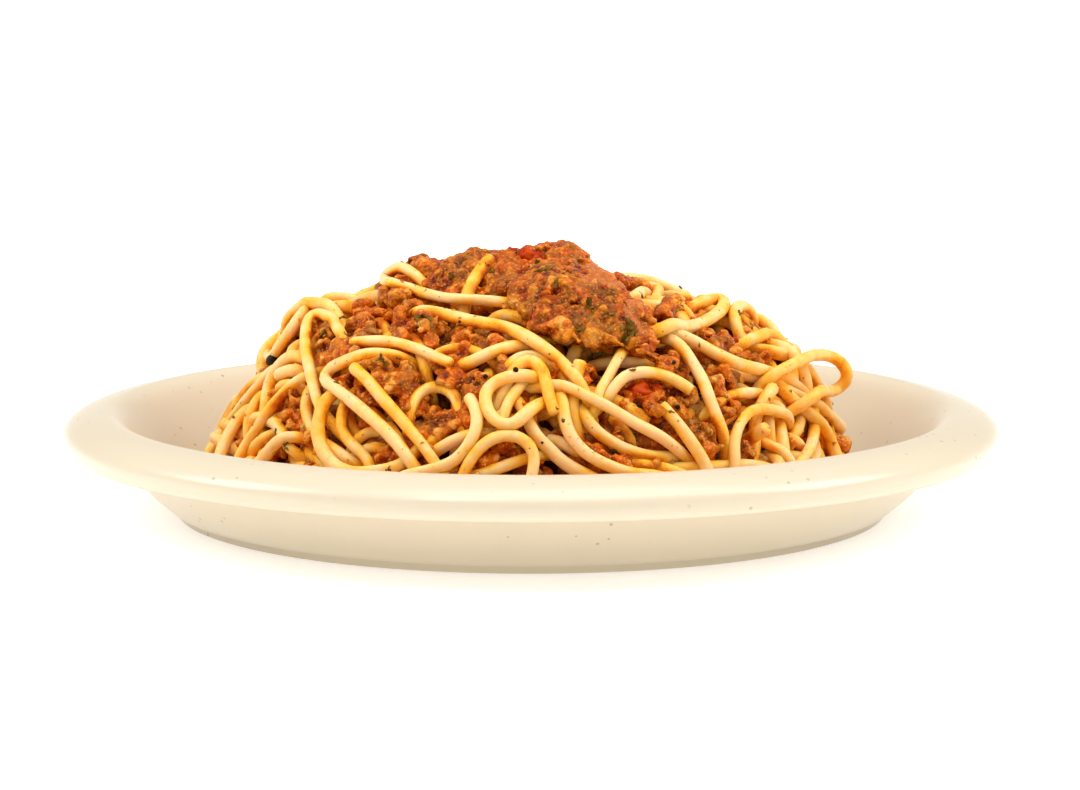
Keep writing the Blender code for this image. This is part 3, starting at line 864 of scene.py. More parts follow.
def smooth_plate(plate, floor):
    """The plate turned again from its own section, with a rounder section and finer steps. Its shade is
    where oil from the food wets it."""
    fine = catmull_rom(plate_section(plate), PLATE_STEP)
    fine[:, 2] = np.clip(fine[:, 2], 0, None)
    rings = [(x, z) for i, (x, _, z) in enumerate(fine[1:-1]) if x > SHOWN_RADIUS or i % 8 == 0]
    angles = np.arange(PLATE_TURNS) * FULL_TURN / PLATE_TURNS
    corners = [(*around(angle, radius), height) for radius, height in rings for angle in angles]
    corners = np.array([*corners, (0, 0, fine[0][2]), (0, 0, fine[-1][2])])
    faces = [face[::-1] for face in ring_faces(len(rings), PLATE_TURNS)]
    top, bottom = len(corners) - 2, len(corners) - 1
    last = (len(rings) - 1) * PLATE_TURNS
    for k in range(PLATE_TURNS):
        after = (k + 1) % PLATE_TURNS
        faces += [(top, k, after), (bottom, last + after, last + k)]
    away = np.hypot(corners[:, 0], corners[:, 1])
    wet = np.clip((82 * MM - away) / (8 * MM), 0, 1) * (corners[:, 2] > np.interp(away, *floor) - 0.8 * MM)
    return corners, faces, wet


# ---------------------------------------------------------------- the core and the sauce

# The meat sauce on top as the camera sees it: its outline as listed (u, v) millimetres.
SAUCE_OUTLINE = (
    (-31, 24), (-34, 30), (-29, 37), (-14, 39), (0, 41), (12, 40), (16.5, 33), (20.5, 29.5), (24, 27),
    (25, 22.5), (27, 18), (28.3, 15.5), (28, 13.3), (24.5, 14), (21.5, 17), (17, 17.3), (13.5, 17.3),
    (10.3, 17.8), (6.5, 20), (3.5, 19.5), (1, 20.5), (-3, 22.5), (-7, 24.5), (-22, 25.5),
)


# The food's upper outline as the camera sees it, as (u, v) millimetres.
FOOD_OUTLINE = (
    (-75, -12), (-63, 5), (-58, 14), (-52, 22), (-49, 25), (-45, 23.5), (-40, 26), (-36, 26.5), (-34, 29),
    (-31.5, 33), (-27.5, 36), (-22, 35.3), (-20.5, 33.4), (-17.5, 35), (-14, 37.4), (-11, 36.4),
    (-5.5, 36.6), (-4, 37.6), (-1, 39), (3.5, 38), (6, 39.2), (9, 38), (12, 36.7), (13.3, 35.2),
    (13.8, 33.3), (17.5, 31.1), (24.5, 30.4), (32, 29), (36, 28), (42, 27.8), (45, 24.5), (50, 19.6),
    (55, 18.3), (58, 12), (64, 2), (75, -12),
)


# Where sauce shows between and on the front strands: u, v and radius in millimetres, how deep its lumps
# lie and their tone, as in SAUCE_TONES.
SAUCE_PATCHES = (
    (-54, 5, 2.6, 1.2, 0.4), (-55, 1, 2.0, 2.0, 0.7), (-52, -2, 2.2, 2.5, 0.6), (-58, -5, 2.5, 3.0, 0.8),
    (-52, -8.5, 2.5, 3, 0.6), (-44, 18, 3.5, 0.8, 0.15), (-42, 15, 3.5, 1.2, 0.6), (-46, 13, 2.5, 2.0, 0.8),
    (-43, 9, 2, 2.5, 0.9), (-39, 5, 3, 3.0, 0.7), (-38, 20, 3, 1.0, 0.6), (-36, 24, 3, 0.6, 0.9),
    (-33, 26, 2.5, 1.0, 0.6), (-26, 22.5, 3.5, 0.4, 0.9), (-22, 21.5, 2.5, 1.0, 0.1),
    (-30, 20, 2.5, 1.0, 0.9), (-34, 13, 3, 1.2, 0.1), (-29, 12, 3, 1.5, 0.2), (-33, 8.5, 2.5, 1.5, 0.8),
    (-28.5, 5, 3, 1.8, 0.4), (-27, 9.5, 2.5, 1.5, 0.7), (-18, 12, 4, 1.6, 0.9), (-15, 20, 3, 2.0, 0.8),
    (-9, 19, 3, 2.0, 0.9), (-13, 9, 3, 1.6, 0.3), (-14.5, 4.5, 2.5, 1.2, 1.0), (-15.5, 1.5, 2.5, 2.0, 1.0),
    (-20, 1.5, 3.5, 3.5, 0.3), (-24, -1.5, 2.5, 2.5, 0.4), (-24, -4.5, 2, 1.5, 0.9),
    (-28, -5.5, 2, 2.0, 0.7), (-33, -6.5, 2.5, 3.0, 0.8), (-41, -8.5, 3, 3.5, 0.8), (-7, -5.5, 3, 4.0, 0.8),
    (-11, -9.5, 2.5, 2.0, 0.8), (-9.5, -1, 2, 2.5, 0.8), (-0.5, 3, 2.5, 2.8, 0.7), (-6, 13, 2.5, 2.0, 0.9),
    (4.5, 11, 2, 1.5, 0.6), (12, 11.5, 2.5, 3.0, 0.8), (3.5, -8.5, 2.5, 4.0, 0.7),
    (14, -5.5, 2.5, 3.5, 0.4), (15, -7, 2.5, 2.5, 0.7), (20, -8, 2.5, 2.0, 0.6), (25, -9.5, 3, 1.8, 0.6),
    (20, -3, 2.5, 3.0, 0.8), (22.5, 6, 2.5, 2.8, 1.0), (27, 7.5, 3, 2.8, 0.9), (27, 3.5, 2.2, 0.6, 0.5),
    (31, -3, 2.5, 3.0, 0.7), (32, 13, 4, 2.5, 0.5), (33.5, 2, 2.5, 2.5, 0.3), (36, 7, 2.5, 4.0, 0.3),
    (36, 24.5, 3.5, 1.5, 0.5), (32, 26.5, 2, 0.4, 0.7), (28, 24.5, 2.5, 1.0, 0.6), (38, 19, 2.5, 4.5, 0.6),
    (42.5, 9.5, 2.3, 0.8, 0.95), (42.5, 3, 2, 1.2, 0.6), (40, -3, 2, 1.8, 0.4), (41, -7, 2, 1.5, 0.6),
    (40.5, 17, 1.4, 0.6, 0.8), (47, 15.5, 2, 2.5, 0.7), (51, 14, 2, 1.5, 0.9), (47, 5, 1.6, 2.5, 0.9),
    (53, 3.5, 1.6, 2.0, 0.9), (49, -4, 1.6, 3.5, 0.7), (59, -2.5, 2, 2.5, 0.9), (51, -8, 2.3, 3.0, 0.4),
    (19, 29.3, 2.5, 2.5, 0.8), (22.5, 28.6, 2.5, 2.5, 0.7), (27, 27.5, 2.0, 3.0, 0.7),
    (-48, 21, 2, 2.0, 0.9), (-64, -5, 2.5, 2.5, 1.0), (-61, 3, 2, 2.0, 0.9), (64, -6, 1.6, 2.5, 0.9),
    (-39, 12.5, 1.5, 1.5, 0.7),
)


# Dark hollows of the front that no sauce fills: u, v and radius in millimetres.
HOLLOWS = (
    (-19.5, 5, 3.0), (-38, 0, 2.2), (-18.5, -7, 2.6), (-39, -9.5, 2.2), (-43, 5.5, 1.6), (3.6, 0, 1.8),
    (3.5, -10, 1.8), (-6, -8.5, 1.8), (37, 5.5, 2.0), (38, 19, 1.8), (6.8, 15.3, 2.6), (15.3, 13.4, 1.8),
    (47.5, 3.8, 1.5), (-33, 2, 1.6), (50, -5, 1.6), (-6.8, 25.5, 1.8), (12.5, 21.5, 1.4), (-19, 31, 1.3),
    (-1, 30.5, 1.2), (30, -1, 1.5), (13, -1.5, 1.2), (-23, 11.5, 1.3), (-54, -10, 2.0),
)


# Longish bits on the front of the mass: half their thickness, tone and points as (u, v), all in
# millimetres.
SAUCE_BITS = (
    (0.6, -0.15, (12.5, 19), (14.5, 19.3), (16.5, 18.4), (18.5, 17), (20, 16)),
    (0.7, -0.15, (-1.5, 25.2), (0.5, 25), (2.3, 23.8)), (0.7, -0.1, (7.5, 17.8), (9, 18.6), (10.5, 17.2)),
    (0.7, -0.1, (16.5, 22.5), (18.5, 22), (20.5, 20.6)), (0.7, -0.1, (23, 15), (25.5, 14.6), (28, 13)),
    (0.8, -0.25, (3.2, 34), (4.3, 32.5), (5.2, 31)), (1.5, 0.8, (-2.2, 36.6), (-0.8, 37.4), (0.6, 37.2)),
)


# How the sauce looks at spots of the front, as (u, v, radius) millimetres and a tone: below 0 pale and tan,
# 0 brown mince, 1 red sauce, 1.4 smooth and pale, partly a painted sheen.
SAUCE_TONES = (
    (-24, 35, 3, 0.3), (-22, 30, 4.5, 0.5), (-16, 33, 3.5, 0.25), (-10, 31, 3, 0.05), (-13, 37, 2, 1.0),
    (-2, 34, 4.0, 1.0), (-3, 22.5, 2.5, -0.25), (1, 24.5, 2.5, -0.2), (9, 18.5, 2, -0.3),
    (14, 18, 2.5, -0.25), (17.5, 20, 2, -0.2), (1, 32, 3, 0.0), (5, 30, 3, 0.1), (7, 36, 4, 0.7),
    (12, 34, 3.5, 1.4), (16, 30, 3.5, 1.4), (12, 28, 3, 1.4), (20, 27, 3, 0.9), (21, 23, 3.5, 1.4),
    (25, 20, 3.5, 1.4), (26, 16, 3, 0.9), (27, 13, 3, 0.8), (20, 18, 3, 0.0), (16, 23, 3, 0.1),
    (10, 24, 3, 0.15), (9, 20, 3, 0.1), (3, 22, 3.5, 0.8), (-1, 26, 3.5, 0.5), (-5, 28, 2.5, 0.0),
    (12, 17, 3, 0.6), (-25, 22, 4, 0.9), (-41, 18, 4, 0.3), (-33, 12, 4, 0.1), (-54, 5, 4, 0.3),
    (-52, -2, 3, 0.6), (-15, 5, 4, 1.0), (-16, 11, 4, 0.8), (-28, 6, 4, 0.4), (24, 6, 3, 0.9),
    (28, 7, 3, 0.7), (27, 2, 3, 0.6), (35, 25, 4, 0.6), (43, 9, 3.5, 1.1), (43, 3, 3, 0.8),
    (40, -4, 4, 0.8), (18, -7, 5, 0.9),
)


# Herbs, tomato and pepper on the front, by kind: u, v and size in millimetres.
GARNISH = {
    "pepper": (
        (-56.3, 12.8, 1.3), (-50.7, 17.4, 0.4), (31.8, 2.3, 0.6), (23.3, 2.4, 0.5), (31, 12, 0.5),
        (-10, 9, 0.5), (-3.4, 10.3, 0.6), (2.4, -5.4, 0.3), (-24, 7.6, 0.3), (18.2, -7.2, 0.6),
        (-17.3, 20.7, 0.3), (-15.5, 20.9, 0.3),
    ),
    "tomato": (
        (-3.4, 36.4, 1.5), (-1.6, 35.6, 1.9), (0.2, 35.0, 1.9), (1.7, 34.8, 1.4), (44.3, 16.4, 1.3),
        (23.8, 6.2, 1.9), (27.2, 6.8, 1.5),
    ),
    "herb": (
        (-26, 22.8, 1.3), (-24, 22, 1.5), (-22, 21.2, 1.2), (-40, 18, 1.3), (-45, 18, 1.4),
        (-41, 21.7, 1.1), (-33, 12.8, 1.4), (-31.8, 12, 1.2), (-29, 12.5, 1.0), (2.5, 32.5, 1.6),
        (1, 34, 1.2), (7.6, 31.8, 1.1), (5.5, 29.5, 1.3), (-17.3, 30.8, 1.1), (-11.5, 29.5, 1.2),
        (-8.5, 31.8, 1.3), (-5.5, 27, 1.4), (-7, 24.6, 1.0), (12.2, 23.5, 1.8), (14, 23.6, 1.3),
        (17, 22, 1.5), (10.5, 19.5, 1.7), (19.5, 18.6, 2.1), (21.3, 18.2, 1.9), (20.6, 16.4, 1.2),
        (24, 26.5, 1.0), (23, 28.8, 0.8), (45.3, 22.9, 1.1), (51, -7.8, 1.3), (36.5, 15.5, 1.0),
        (40, 18.7, 0.8), (-53.5, -5.8, 1.4), (-55.5, -3, 1.0), (7, -0.8, 1.1), (22, 10.6, 0.8),
        (33.5, 10.6, 1.3), (32.5, 24.8, 1.0), (28.3, 22, 1.0), (48, -4, 0.8), (-31, -11, 0.8),
        (56.5, 6, 0.7), (-13.5, 13.5, 0.8), (1.5, -6, 0.5), (-38, -1, 1.0), (65, -7, 1.0),
    ),
}


def inside(outline, x, y):
    """Whether (x, y) lies in a closed outline."""
    odd = False
    for (x0, y0), (x1, y1) in zip(outline, outline[1:] + outline[:1]):
        if (y0 > y) != (y1 > y) and x < x0 + (x1 - x0) * (y - y0) / (y1 - y0):
            odd = not odd
    return odd


def ball(parts):
    """The corners and faces of an icosphere of radius 1."""
    shape = bmesh.new()
    bmesh.ops.create_icosphere(shape, subdivisions=parts, radius=1.0)
    return shape_arrays(shape)


def turned(rng):
    """A random turn, as a matrix."""
    a, b, c, d = rng.normal(size=4)
    size = math.sqrt(a * a + b * b + c * c + d * d)
    a, b, c, d = a / size, b / size, c / size, d / size
    return np.array((
        (1 - 2 * (c * c + d * d), 2 * (b * c - a * d), 2 * (b * d + a * c)),
        (2 * (b * c + a * d), 1 - 2 * (b * b + d * d), 2 * (c * d - a * b)),
        (2 * (b * d - a * c), 2 * (c * d + a * b), 1 - 2 * (b * b + c * c)),
    ))


def crumb(rng, template, centre, size, rough=0.35):
    """A lump of mince: an uneven blob."""
    corners, faces = template
    seed = Vector(rng.uniform(0, 90, 3))
    stretch = rng.uniform(0.65, 1.3, 3)
    swell = [1 + rough * noise.noise(Vector(corner) * 1.5 + seed) * 1.6 + rough * 0.5 * noise.noise(
        Vector(corner) * 3.4 + seed) for corner in corners]
    shaped = corners * np.array(swell)[:, None] * stretch @ turned(rng)
    return centre + shaped * size, faces


def sunk(place, out, size, strands, deepest):
    """place moved in until a lump of that size leaves the strands, a tree of their points, clear."""
    step = 0.5 * MM
    for _ in range(int(deepest / step)):
        if strands.find(place)[2] - STRAND_RADIUS > size * 0.75:
            break
        place = place - out * step
    return place


def voxelled(name, shapes, voxel):
    """One closed skin round many shapes."""
    obj = joined(name, shapes)
    remesh = obj.modifiers.new("remesh", "REMESH")
    remesh.mode = "VOXEL"
    remesh.voxel_size = voxel
    graph = bpy.context.evaluated_depsgraph_get()
    mesh = bpy.data.meshes.new_from_object(obj.evaluated_get(graph), depsgraph=graph)
    mesh.name = name
    obj.modifiers.clear()
    obj.data = mesh
    mesh.polygons.foreach_set("use_smooth", [True] * len(mesh.polygons))
    return obj


def roughened(obj, *waves):
    """Moves a mesh's corners in and out by noise of several (size, depth)."""
    places, normals = corner_rows(obj, "co"), corner_rows(obj, "normal")
    height = np.zeros(len(places))
    for size, depth in waves:
        height += depth * np.array([noise.noise(Vector(place / size)) for place in places])
    move_corners(obj, places + normals * height[:, None])


def dug(obj, depth):
    """Moves a mesh in where the camera sees it in one of HOLLOWS."""
    places, normals = corner_rows(obj, "co"), corner_rows(obj, "normal")
    for i in np.flatnonzero(places[:, 1] < 0):
        at = view_place(places[i])
        near = max(1 - math.dist(at, (u, v)) / (radius + 1.5) for u, v, radius in HOLLOWS)
        places[i] -= normals[i] * depth * min(1.0, max(0.0, near) * 2)
    move_corners(obj, places)


def evened(obj, places, steps):
    """A mesh's corners after smoothing."""
    edges = np.empty(len(obj.data.edges) * 2, np.int32)
    obj.data.edges.foreach_get("vertices", edges)
    one, two = np.concatenate([edges[::2], edges[1::2]]), np.concatenate([edges[1::2], edges[::2]])
    count = np.bincount(one, minlength=len(places))[:, None]
    for _ in range(steps):
        total = np.stack([np.bincount(one, places[two, k], len(places)) for k in range(3)], 1)
        places = 0.5 * places + 0.5 * total / count
    return places


def relief(obj, *scales):
    """Keeps how far each corner stands out from its surroundings: 0.5 on a plain, 0 in a hollow, 1 on a
    bump. Each scale is how many steps of smoothing the surroundings get, the depth of a hollow, and its
    share."""
    places, normals = corner_rows(obj, "co"), corner_rows(obj, "normal")
    total = 0.5
    for steps, depth, share in scales:
        out = ((places - evened(obj, places, steps)) * normals).sum(1)
        total = total + share * np.clip(0.5 * out / depth, -0.6, 0.6)
    # The sauce's material paints shade in the hollows and light on the bumps from this.
    set_values(obj, "relief", np.clip(total, 0, 1))


def values_by_nearest(obj, name, centres, values):
    """Gives each corner of a mesh the value of the nearest centres, mostly of the first."""
    tree = point_tree(centres)
    found = []
    for place in corner_rows(obj, "co"):
        near = tree.find_n(place, 3)
        weights = [1 / (distance + 0.1 * MM) ** 5 for _, _, distance in near]
        found.append(sum(values[i] * w for (_, i, _), w in zip(near, weights)) / sum(weights))
    set_values(obj, name, found)


def core_shape(heap, sink):
    """The heap's solid drawn in by sink."""
    shape = bmesh.new()
    shape.from_mesh(heap.data)
    bmesh.ops.remove_doubles(shape, verts=shape.verts, dist=0.01 * MM)
    shape.normal_update()
    for corner in shape.verts:
        if corner.normal.z > 0.05:
            corner.co -= corner.normal * sink
        else:
            corner.co.xy *= 1 - sink / (73 * MM)
    return shape_arrays(shape)


def tone_at(place, rng):
    """A lump's tone: that of the spot it is seen at, or a random one."""
    own = float(rng.random())
    if place[1] > 10 * MM:
        return own
    u, v = view_place(place)
    for at_u, at_v, radius, tone in SAUCE_TONES:
        if (u - at_u) ** 2 + (v - at_v) ** 2 < radius * radius:
            return tone + (0.25 if tone < 1.7 else 0.1) * (own - 0.5)
    return own


def mass_lumps(sauce_dome, rng, strands):
    """Lumps of mince and sauce packed over the heap's top, as far as SAUCE_OUTLINE at the front, as
    (place, size, tone)."""
    low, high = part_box("meat_sauce")
    lumps = []
    for depth, least, most, pitch in ((4.6, 2.6, 3.8, 3.4), (1.7, 1.2, 2.8, 2.2)):
        for x in np.arange(low.x - 2 * MM, high.x + 2 * MM, pitch * MM):
            for y in np.arange(low.y - 8 * MM, high.y + 2 * MM, pitch * MM):
                at = (x + rng.uniform(-1, 1) * MM, y + rng.uniform(-1, 1) * MM)
                size = rng.uniform(least, most) * MM
                point, normal = sauce_dome.hit(Vector((*at, 0.1)), DOWN)
                if point is None:
                    continue
                u, v = view_place(point)
                inner = inside(SAUCE_OUTLINE, u, v) and inside(SAUCE_OUTLINE, u, v - depth + 1.7)
                if point.y < 0 and not inner:
                    continue
                out = np.array(normal)
                place = np.array(point) - out * (depth * MM + size * 0.1)
                if u < -7:
                    place = sunk(place, out, size, strands, 5 * MM)
                if point.y > 0 or depth > 2 or not hollow(place):
                    lumps.append((lowered(place, size), size, tone_at(place, rng)))
    return lumps


def bits(dome):
    """The longish bits of SAUCE_BITS as rows of lumps."""
    lumps = []
    for thick, tone, *line in SAUCE_BITS:
        for u, v in catmull_rom([(*point, 0.0) for point in line], 0.6)[:, :2]:
            point, out = on_dome(dome, u, v)
            lumps.append((point - out * 0.9 * thick * MM, thick * MM, tone))
    return lumps


def hollow(place):
    """Whether the camera sees a place in one of HOLLOWS."""
    at = view_place(place)
    return any(math.dist(at, (u, v)) < radius for u, v, radius in HOLLOWS)


def near_spot(rng, u, v, radius):
    """A random (u, v) within radius."""
    step = around(rng.uniform(0, FULL_TURN), radius * math.sqrt(rng.random()))
    return u + step[0], v + step[1]


def lumps_between(dome, rng, strands):
    """Lumps of sauce between the strands: where the camera sees them in front, over a pool of sauce,
    and at random elsewhere."""
    lumps = []
    for u, v, radius, depth, tone in SAUCE_PATCHES:
        for _ in range(int(radius * radius * 1.3) + 3):
            point, out = on_dome(dome, *near_spot(rng, u, v, radius))
            size = rng.uniform(0.6, 2.0) * MM
            place = point - out * (depth + rng.uniform(0.2, 2.0)) * MM
            if not hollow(place):
                if rng.random() < 0.75:
                    place = sunk(place, out, size, strands, 1.5 * MM)
                lumps.append((place, size, tone + rng.uniform(-0.2, 0.2)))
        for _ in range(int((radius + 1) ** 2 * 0.6) + 2):
            point, out = on_dome(dome, *near_spot(rng, u, v, radius + 1))
            size = rng.uniform(1.5, 2.5) * MM
            place = sunk(point - out * (depth * MM + 1.2 * MM + size), out, size * 0.6, strands, 2 * MM)
            if not hollow(place):
                lumps.append((place, size, 0.65 + rng.uniform(-0.3, 0.3)))
    for _ in range(60):
        x, y = around(rng.uniform(0, FULL_TURN), rng.uniform(0.3, 1.0) ** 0.5 * 72 * MM)
        if y < -30 * MM:
            continue
        depth, tone = rng.uniform(0.5, 3.5), rng.random()
        for _ in range(int(rng.uniform(5, 32))):
            at = Vector((x, y, 0.1)) + Vector((rng.normal() * 3.0 * MM, rng.normal() * 3.0 * MM, 0))
            point, normal = dome.hit(at, DOWN)
            if point is not None:
                size, out = rng.uniform(0.6, 2.0) * MM, np.array(normal)
                place = np.array(point) - out * (depth + rng.uniform(0, 2.0)) * MM
                place = sunk(place, out, size, strands, 1.5 * MM)
                lumps.append((lowered(place, size), size, tone + rng.uniform(-0.2, 0.2)))
    return lumps


def flake(rng, template, centre, out, size, thick):
    """A ragged bit, bent and lying nearly flat on the surface that faces out, thick as a share of its
    size."""
    corners, faces = template
    seed = Vector(rng.uniform(0, 90, 3))
    swell = np.array([
        1 + 1.0 * noise.noise(Vector(corner) * 1.6 + seed) + 0.8 * noise.noise(Vector(corner) * 4 + seed)
        for corner in corners
    ])
    shaped = corners * swell[:, None] * (1.0, rng.uniform(0.3, 0.75), thick)
    bend, wave = rng.uniform(-0.35, 0.35), rng.uniform(0, 6)
    shaped[:, 2] += bend * shaped[:, 0] ** 2 + 0.15 * np.sin(shaped[:, 1] * 3 + wave)
    out = Vector(out) + Vector(rng.normal(0, 0.25, 3))
    spin = out.to_track_quat("Z", "Y").to_matrix()
    turn = rng.uniform(0, FULL_TURN)
    flat = np.array(((math.cos(turn), -math.sin(turn), 0), (math.sin(turn), math.cos(turn), 0), (0, 0, 1)))
    return centre + shaped @ flat.T @ np.array(spin).T * size, faces


def garnishes(skin, dome, rng):
    """Crumbs of mince, bits of herb and tomato, and pepper that lie on the food, as shapes by kind."""
    fine, coarse = ball(3), ball(2)
    shapes = {"crumbs": [], "herb": [], "tomato": [], "pepper": []}

    def lay(kind, point, out, size):
        point, out = np.array(point), np.array(out)
        if kind == "herb":
            for _ in range(2 + int(size / (0.6 * MM))):
                place, way = skin.under(point + rng.normal(0, 0.4, 3) * size, out)
                own = size * rng.uniform(0.3, 0.7)
                if place is not None and (place - Vector(point)).length < size:
                    shapes[kind].append((*flake(rng, coarse, np.array(place), way, own, 0.15), 0.0))
        elif kind == "crumbs":
            shapes[kind].append((*flake(rng, coarse, point, out, size, 0.4), 0.0))
        elif kind == "tomato":
            shapes[kind].append((*crumb(rng, fine, point - out * 0.3 * size, size), 0.0))
        else:
            corners, faces = crumb(rng, fine, np.zeros(3), size, 0.1)
            reach = np.linalg.norm(corners, axis=1)[:, None]
            corners *= 0.4 + 0.6 * size / reach
            shapes[kind].append((point + out * 0.35 * size + corners, faces, 0.0))

    for kind, spots in GARNISH.items():
        for u, v, size in spots:
            point, out = skin.seen(u, v)
            if point is not None:
                lay(kind, point, out, size * MM)
    for u, v, radius, _, _ in SAUCE_PATCHES:
        for _ in range(int(radius * 0.7)):
            step = around(rng.uniform(0, FULL_TURN), radius * rng.uniform(0.3, 1.5))
            point, out = skin.seen(u + step[0], v + step[1])
            if point is not None and point.y < 60 * MM:
                lay("crumbs", point, out, rng.uniform(0.3, 0.75) ** 2 * MM)
    for _ in range(700):
        turn, reach = rng.uniform(0, FULL_TURN), 71 * MM * math.sqrt(rng.random())
        if turn > math.pi and reach > 40 * MM and rng.random() < 0.6:
            continue
        point, way = skin.under(*dome.nearest((*around(turn, reach), 60 * MM - reach * 0.5)))
        if point is None or point.z < 8 * MM:
            continue
        kind = "herb" if rng.random() < 0.12 else "crumbs"
        size = rng.uniform(0.4, 1.2) if kind == "herb" else rng.uniform(0.3, 0.75) ** 2
        if point.y > 25 * MM and rng.random() < 0.02:
            kind, size = "tomato", rng.uniform(0.9, 1.8)
        lay(kind, point, way, size * MM)
    return shapes


def lowered(place, size):
    """place moved down until a lump of that size stays under the food's outline as the camera sees it."""
    u, v = view_place(place)
    size = size / MM
    here, left, right = np.interp((u, u - 0.8 * size, u + 0.8 * size), *zip(*FOOD_OUTLINE))
    over = max(v + size - here, v + 0.6 * size - left, v + 0.6 * size - right, 0.0)
    return place - np.array((0, 0, over * MM))


def without_specks(obj, least):
    """Deletes the islands of a mesh that have fewer corners than least."""
    shape = bmesh.new()
    shape.from_mesh(obj.data)
    seen, specks = set(), []
    for start in shape.verts:
        if start in seen:
            continue
        seen.add(start)
        island = [start]
        for corner in island:
            for edge in corner.link_edges:
                other = edge.other_vert(corner)
                if other not in seen:
                    seen.add(other)
                    island.append(other)
        if len(island) < least:
            specks += island
    bmesh.ops.delete(shape, geom=specks, context="VERTS")
    shape.to_mesh(obj.data)
    shape.free()


def sauce_skin(name, lumps, rng, voxel, grains):
    """One uneven skin round lumps, each with grains of mince on it."""
    coarse, coarsest = ball(2), ball(1)
    shapes, centres, tones, paleness = [], [], [], []

    def lay(template, place, size, tone, pale):
        shapes.append((*crumb(rng, template, place, size), 0.0))
        centres.append(place)
        tones.append(tone + (rng.uniform(-0.35, 0.35) if template is coarsest else 0.0))
        paleness.append(pale * float(rng.random()))

    for place, size, tone in lumps:
        lay(coarse, place, size * 0.9, tone, 0.3)
        for _ in range(int(grains * (size / MM) ** 2 * (0.4 if 1.1 < tone < 1.7 else 1))):
            way = rng.normal(size=3)
            way /= np.linalg.norm(way)
            if way[2] < -0.4:
                continue
            grain = rng.uniform(0.35, 0.9) * MM
            lay(coarsest, place + way * (size * 0.95 - grain * 0.55), grain, tone, 1.0)
    obj = voxelled(name, shapes, voxel)
    without_specks(obj, 160)
    move_corners(obj, evened(obj, corner_rows(obj, "co"), 3))
    values_by_nearest(obj, "shade", centres, tones)
    values_by_nearest(obj, "pale", centres, paleness)
    roughened(obj, (4.5 * MM, 0.4 * MM), (2.2 * MM, 0.4 * MM), (0.8 * MM, 0.2 * MM))
    relief(obj, (8, 0.30 * MM, 0.85), (40, 0.9 * MM, 0.3))
    return obj


# ---------------------------------------------------------------- stage

def add_light(name, place, target, size, power):
    data = bpy.data.lights.new(name, "AREA")
    data.size = size
    data.energy = power
    aim(put(name, data), place, target)


def add_stage():
    """A plain floor that glows more the farther it is, in soft light from above, both sides and all
    round, with a small bright light for the highlights."""
    mesh = bpy.data.meshes.new("floor")
    shape = bmesh.new()
    bmesh.ops.create_grid(shape, x_segments=1, y_segments=1, size=6.0)
    shape.to_mesh(mesh)
    shape.free()
    made = Surface(bpy.data.materials.new("floor"))
    away = made.add("ShaderNodeVectorMath", {0: made.place}, operation="LENGTH").outputs["Value"]
    made.set(Base_Color=(0.9, 0.9, 0.9, 1.0), Roughness=0.9, Emission_Color=(1.0, 1.0, 1.0, 1.0),
             Emission_Strength=made.band(away, 0.12, 0.8, 0.45, 1.1))
    mesh.materials.append(made.owner)
    floor = put("floor", mesh)

    made = Surface(bpy.data.worlds.new("studio"), "Background", "Generated")
    height = made.add("ShaderNodeSeparateXYZ", {0: made.place}).outputs["Z"]
    made.set(Color=(1.0, 1.0, 1.0, 1.0), Strength=made.band(height, 0.07, 0.2, 1.1, 0.34, "LINEAR"))
    bpy.context.scene.world = made.owner
    bpy.context.scene.view_settings.view_transform = "Standard"

    add_light("top", (0.1, -0.12, 0.88), (0, 0, 0.02), 0.75, 5.7)
    add_light("left", (-0.85, -0.05, 0.75), (0, 0, 0.02), 0.5, 5.9)
    add_light("right", (0.85, -0.05, 0.75), (0, 0, 0.02), 0.5, 5.9)
    add_light("spark", (-0.25, -0.5, 0.85), (0, 0, 0.03), 0.15, 1.6)


# ---------------------------------------------------------------- everything

def dress(obj, node):
    """Makes a piece stand for a CAD node."""
    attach(obj, "root")
    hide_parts(node)


def laid_strands(dome, floor, rng):
    """The middle lines and radii of all strands, those of FRONT_STRANDS first."""
    chosen = [front_strand(dome, *row[:3]) for row in FRONT_STRANDS]
    wandering = wandering_strands(dome, rng) + foot_strands(dome, rng)
    holds = [0.12 if row[0] >= 0 else -1 for row in FRONT_STRANDS] + [0.01] * len(wandering)
    radii = STRAND_RADIUS * rng.uniform(0.9, 1.12, len(holds))
    return settle(chosen + wandering, radii, holds, dome, floor, 60), radii


def add_strands(tubes, dome, lumps, rng):
    """The strands as three meshes, with the sauce that each of lumps leaves on them and their painted shade.
    """
    chosen = len(FRONT_STRANDS)
    stains = np.zeros(len(tubes))
    stains[:chosen] = [row[3] if len(row) > 3 else 0.0 for row in FRONT_STRANDS]
    shades = strand_shades(dome, tubes, stains, lumps, rng)
    shapes = [(corners, faces, shade) for (corners, faces, _), shade in zip(tubes, shades)]
    pasta = pasta_material()
    groups = {
        "strands_front": shapes[:chosen], "strands_a": shapes[chosen::2], "strands_b": shapes[chosen + 1::2],
    }
    meshes = [joined(name, group, pasta) for name, group in groups.items()]
    for mesh in meshes:
        dress(mesh, "spaghetti")
    return meshes


def add_core(heap, rng):
    """What the strands lie on: the heap's solid drawn in, rough and full of sauce, darkened as painted shade
    since it shows only in the hollows.
    """
    core = voxelled("core", [(*core_shape(heap, 5.4 * MM), 0.0)], 1.2 * MM)
    dug(core, 5 * MM)
    roughened(core, (4 * MM, 2.4 * MM), (1.8 * MM, 1.0 * MM))
    for name, count in (("shade", 900), ("pale", 3000)):
        centres = rng.uniform((-75 * MM, -75 * MM, 0), (75 * MM, 75 * MM, 60 * MM), (count, 3))
        values_by_nearest(core, name, centres, rng.random(count))
    relief(core, (5, 0.6 * MM, 1.0))
    core.data.materials.append(sauce_material("deep_sauce_painted_shade", 0.45))
    dress(core, "spaghetti")


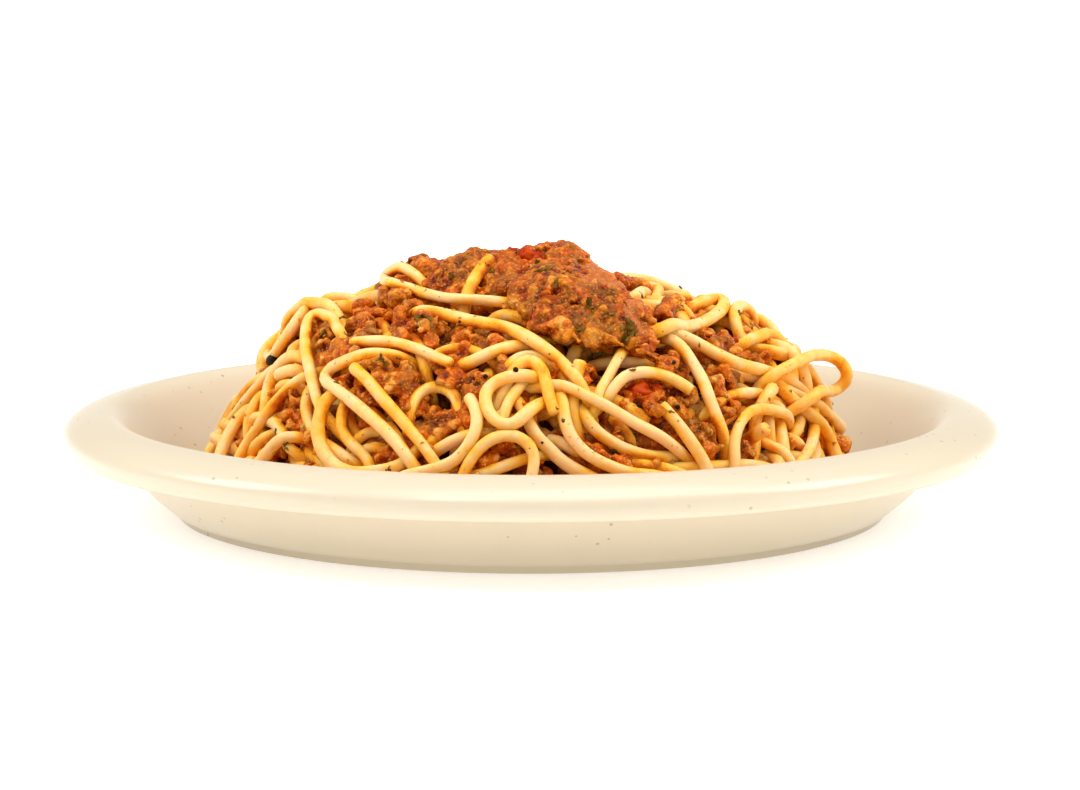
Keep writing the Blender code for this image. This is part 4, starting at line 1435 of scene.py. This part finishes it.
def add_sauce(on_top, between, rng):
    """The mass on top, and the sauce between the strands at the left, at the right and behind."""
    mince = sauce_material("mince_and_sauce", 0.0)
    front = [lump for lump in between if lump[0][1] < 5 * MM]
    skins = []
    for name, lumps, grains, voxel in (
        ("sauce_mass", on_top, 1.8, 0.4),
        ("sauce_left", [lump for lump in front if lump[0][0] < 0], 2.0, 0.49),
        ("sauce_right", [lump for lump in front if lump[0][0] >= 0], 2.0, 0.49),
        ("sauce_back", [lump for lump in between if lump[0][1] >= 5 * MM], 1.0, 0.6),
    ):
        skins.append(sauce_skin(name, lumps, rng, voxel * MM, grains))
        skins[-1].data.materials.append(mince)
        dress(skins[-1], "meat_sauce")
    return skins


def add_garnishes(food, dome, rng):
    finishes = {
        "crumbs": ((0.52, 0.15, 0.006), (0.80, 0.34, 0.04), 0.3),
        "herb": ((0.085, 0.034, 0.002), (0.23, 0.125, 0.010), 0.5),
        "tomato": ((0.32, 0.014, 0.001), (0.50, 0.055, 0.002), 0.25),
        "pepper": ((0.012, 0.008, 0.004), (0.05, 0.03, 0.015), 0.4),
    }
    for kind, shapes in garnishes(Skin(food), dome, rng).items():
        dress(joined(kind, shapes, garnish_material(kind, *finishes[kind])), "meat_sauce")


def main():
    clear_scene()
    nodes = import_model()["nodes"]
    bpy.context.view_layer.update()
    heap, sauce, plate = nodes["spaghetti"], nodes["meat_sauce"], nodes["plate"]
    add_camera()
    add_stage()
    dome = Skin([heap, sauce], LEAST_SLOPE)
    floor = plate_floor(plate)
    rng = np.random.default_rng(7)
    strands, radii = laid_strands(dome, floor, rng)
    tubes = [tube(strand, radius, rng) for strand, radius in zip(strands, radii)]
    chosen = point_tree(np.vstack(strands[: len(FRONT_STRANDS)]))
    on_top = mass_lumps(Skin([sauce], LEAST_SLOPE), rng, chosen) + bits(dome)
    between = lumps_between(dome, rng, point_tree(np.vstack(strands)))
    food = add_strands(tubes, dome, on_top + between, rng)
    add_core(heap, rng)
    food += add_sauce(on_top, between, rng)
    add_garnishes(food, dome, rng)
    dress(joined("plate_glazed", [smooth_plate(plate, floor)], glaze_material()), "plate")


main()
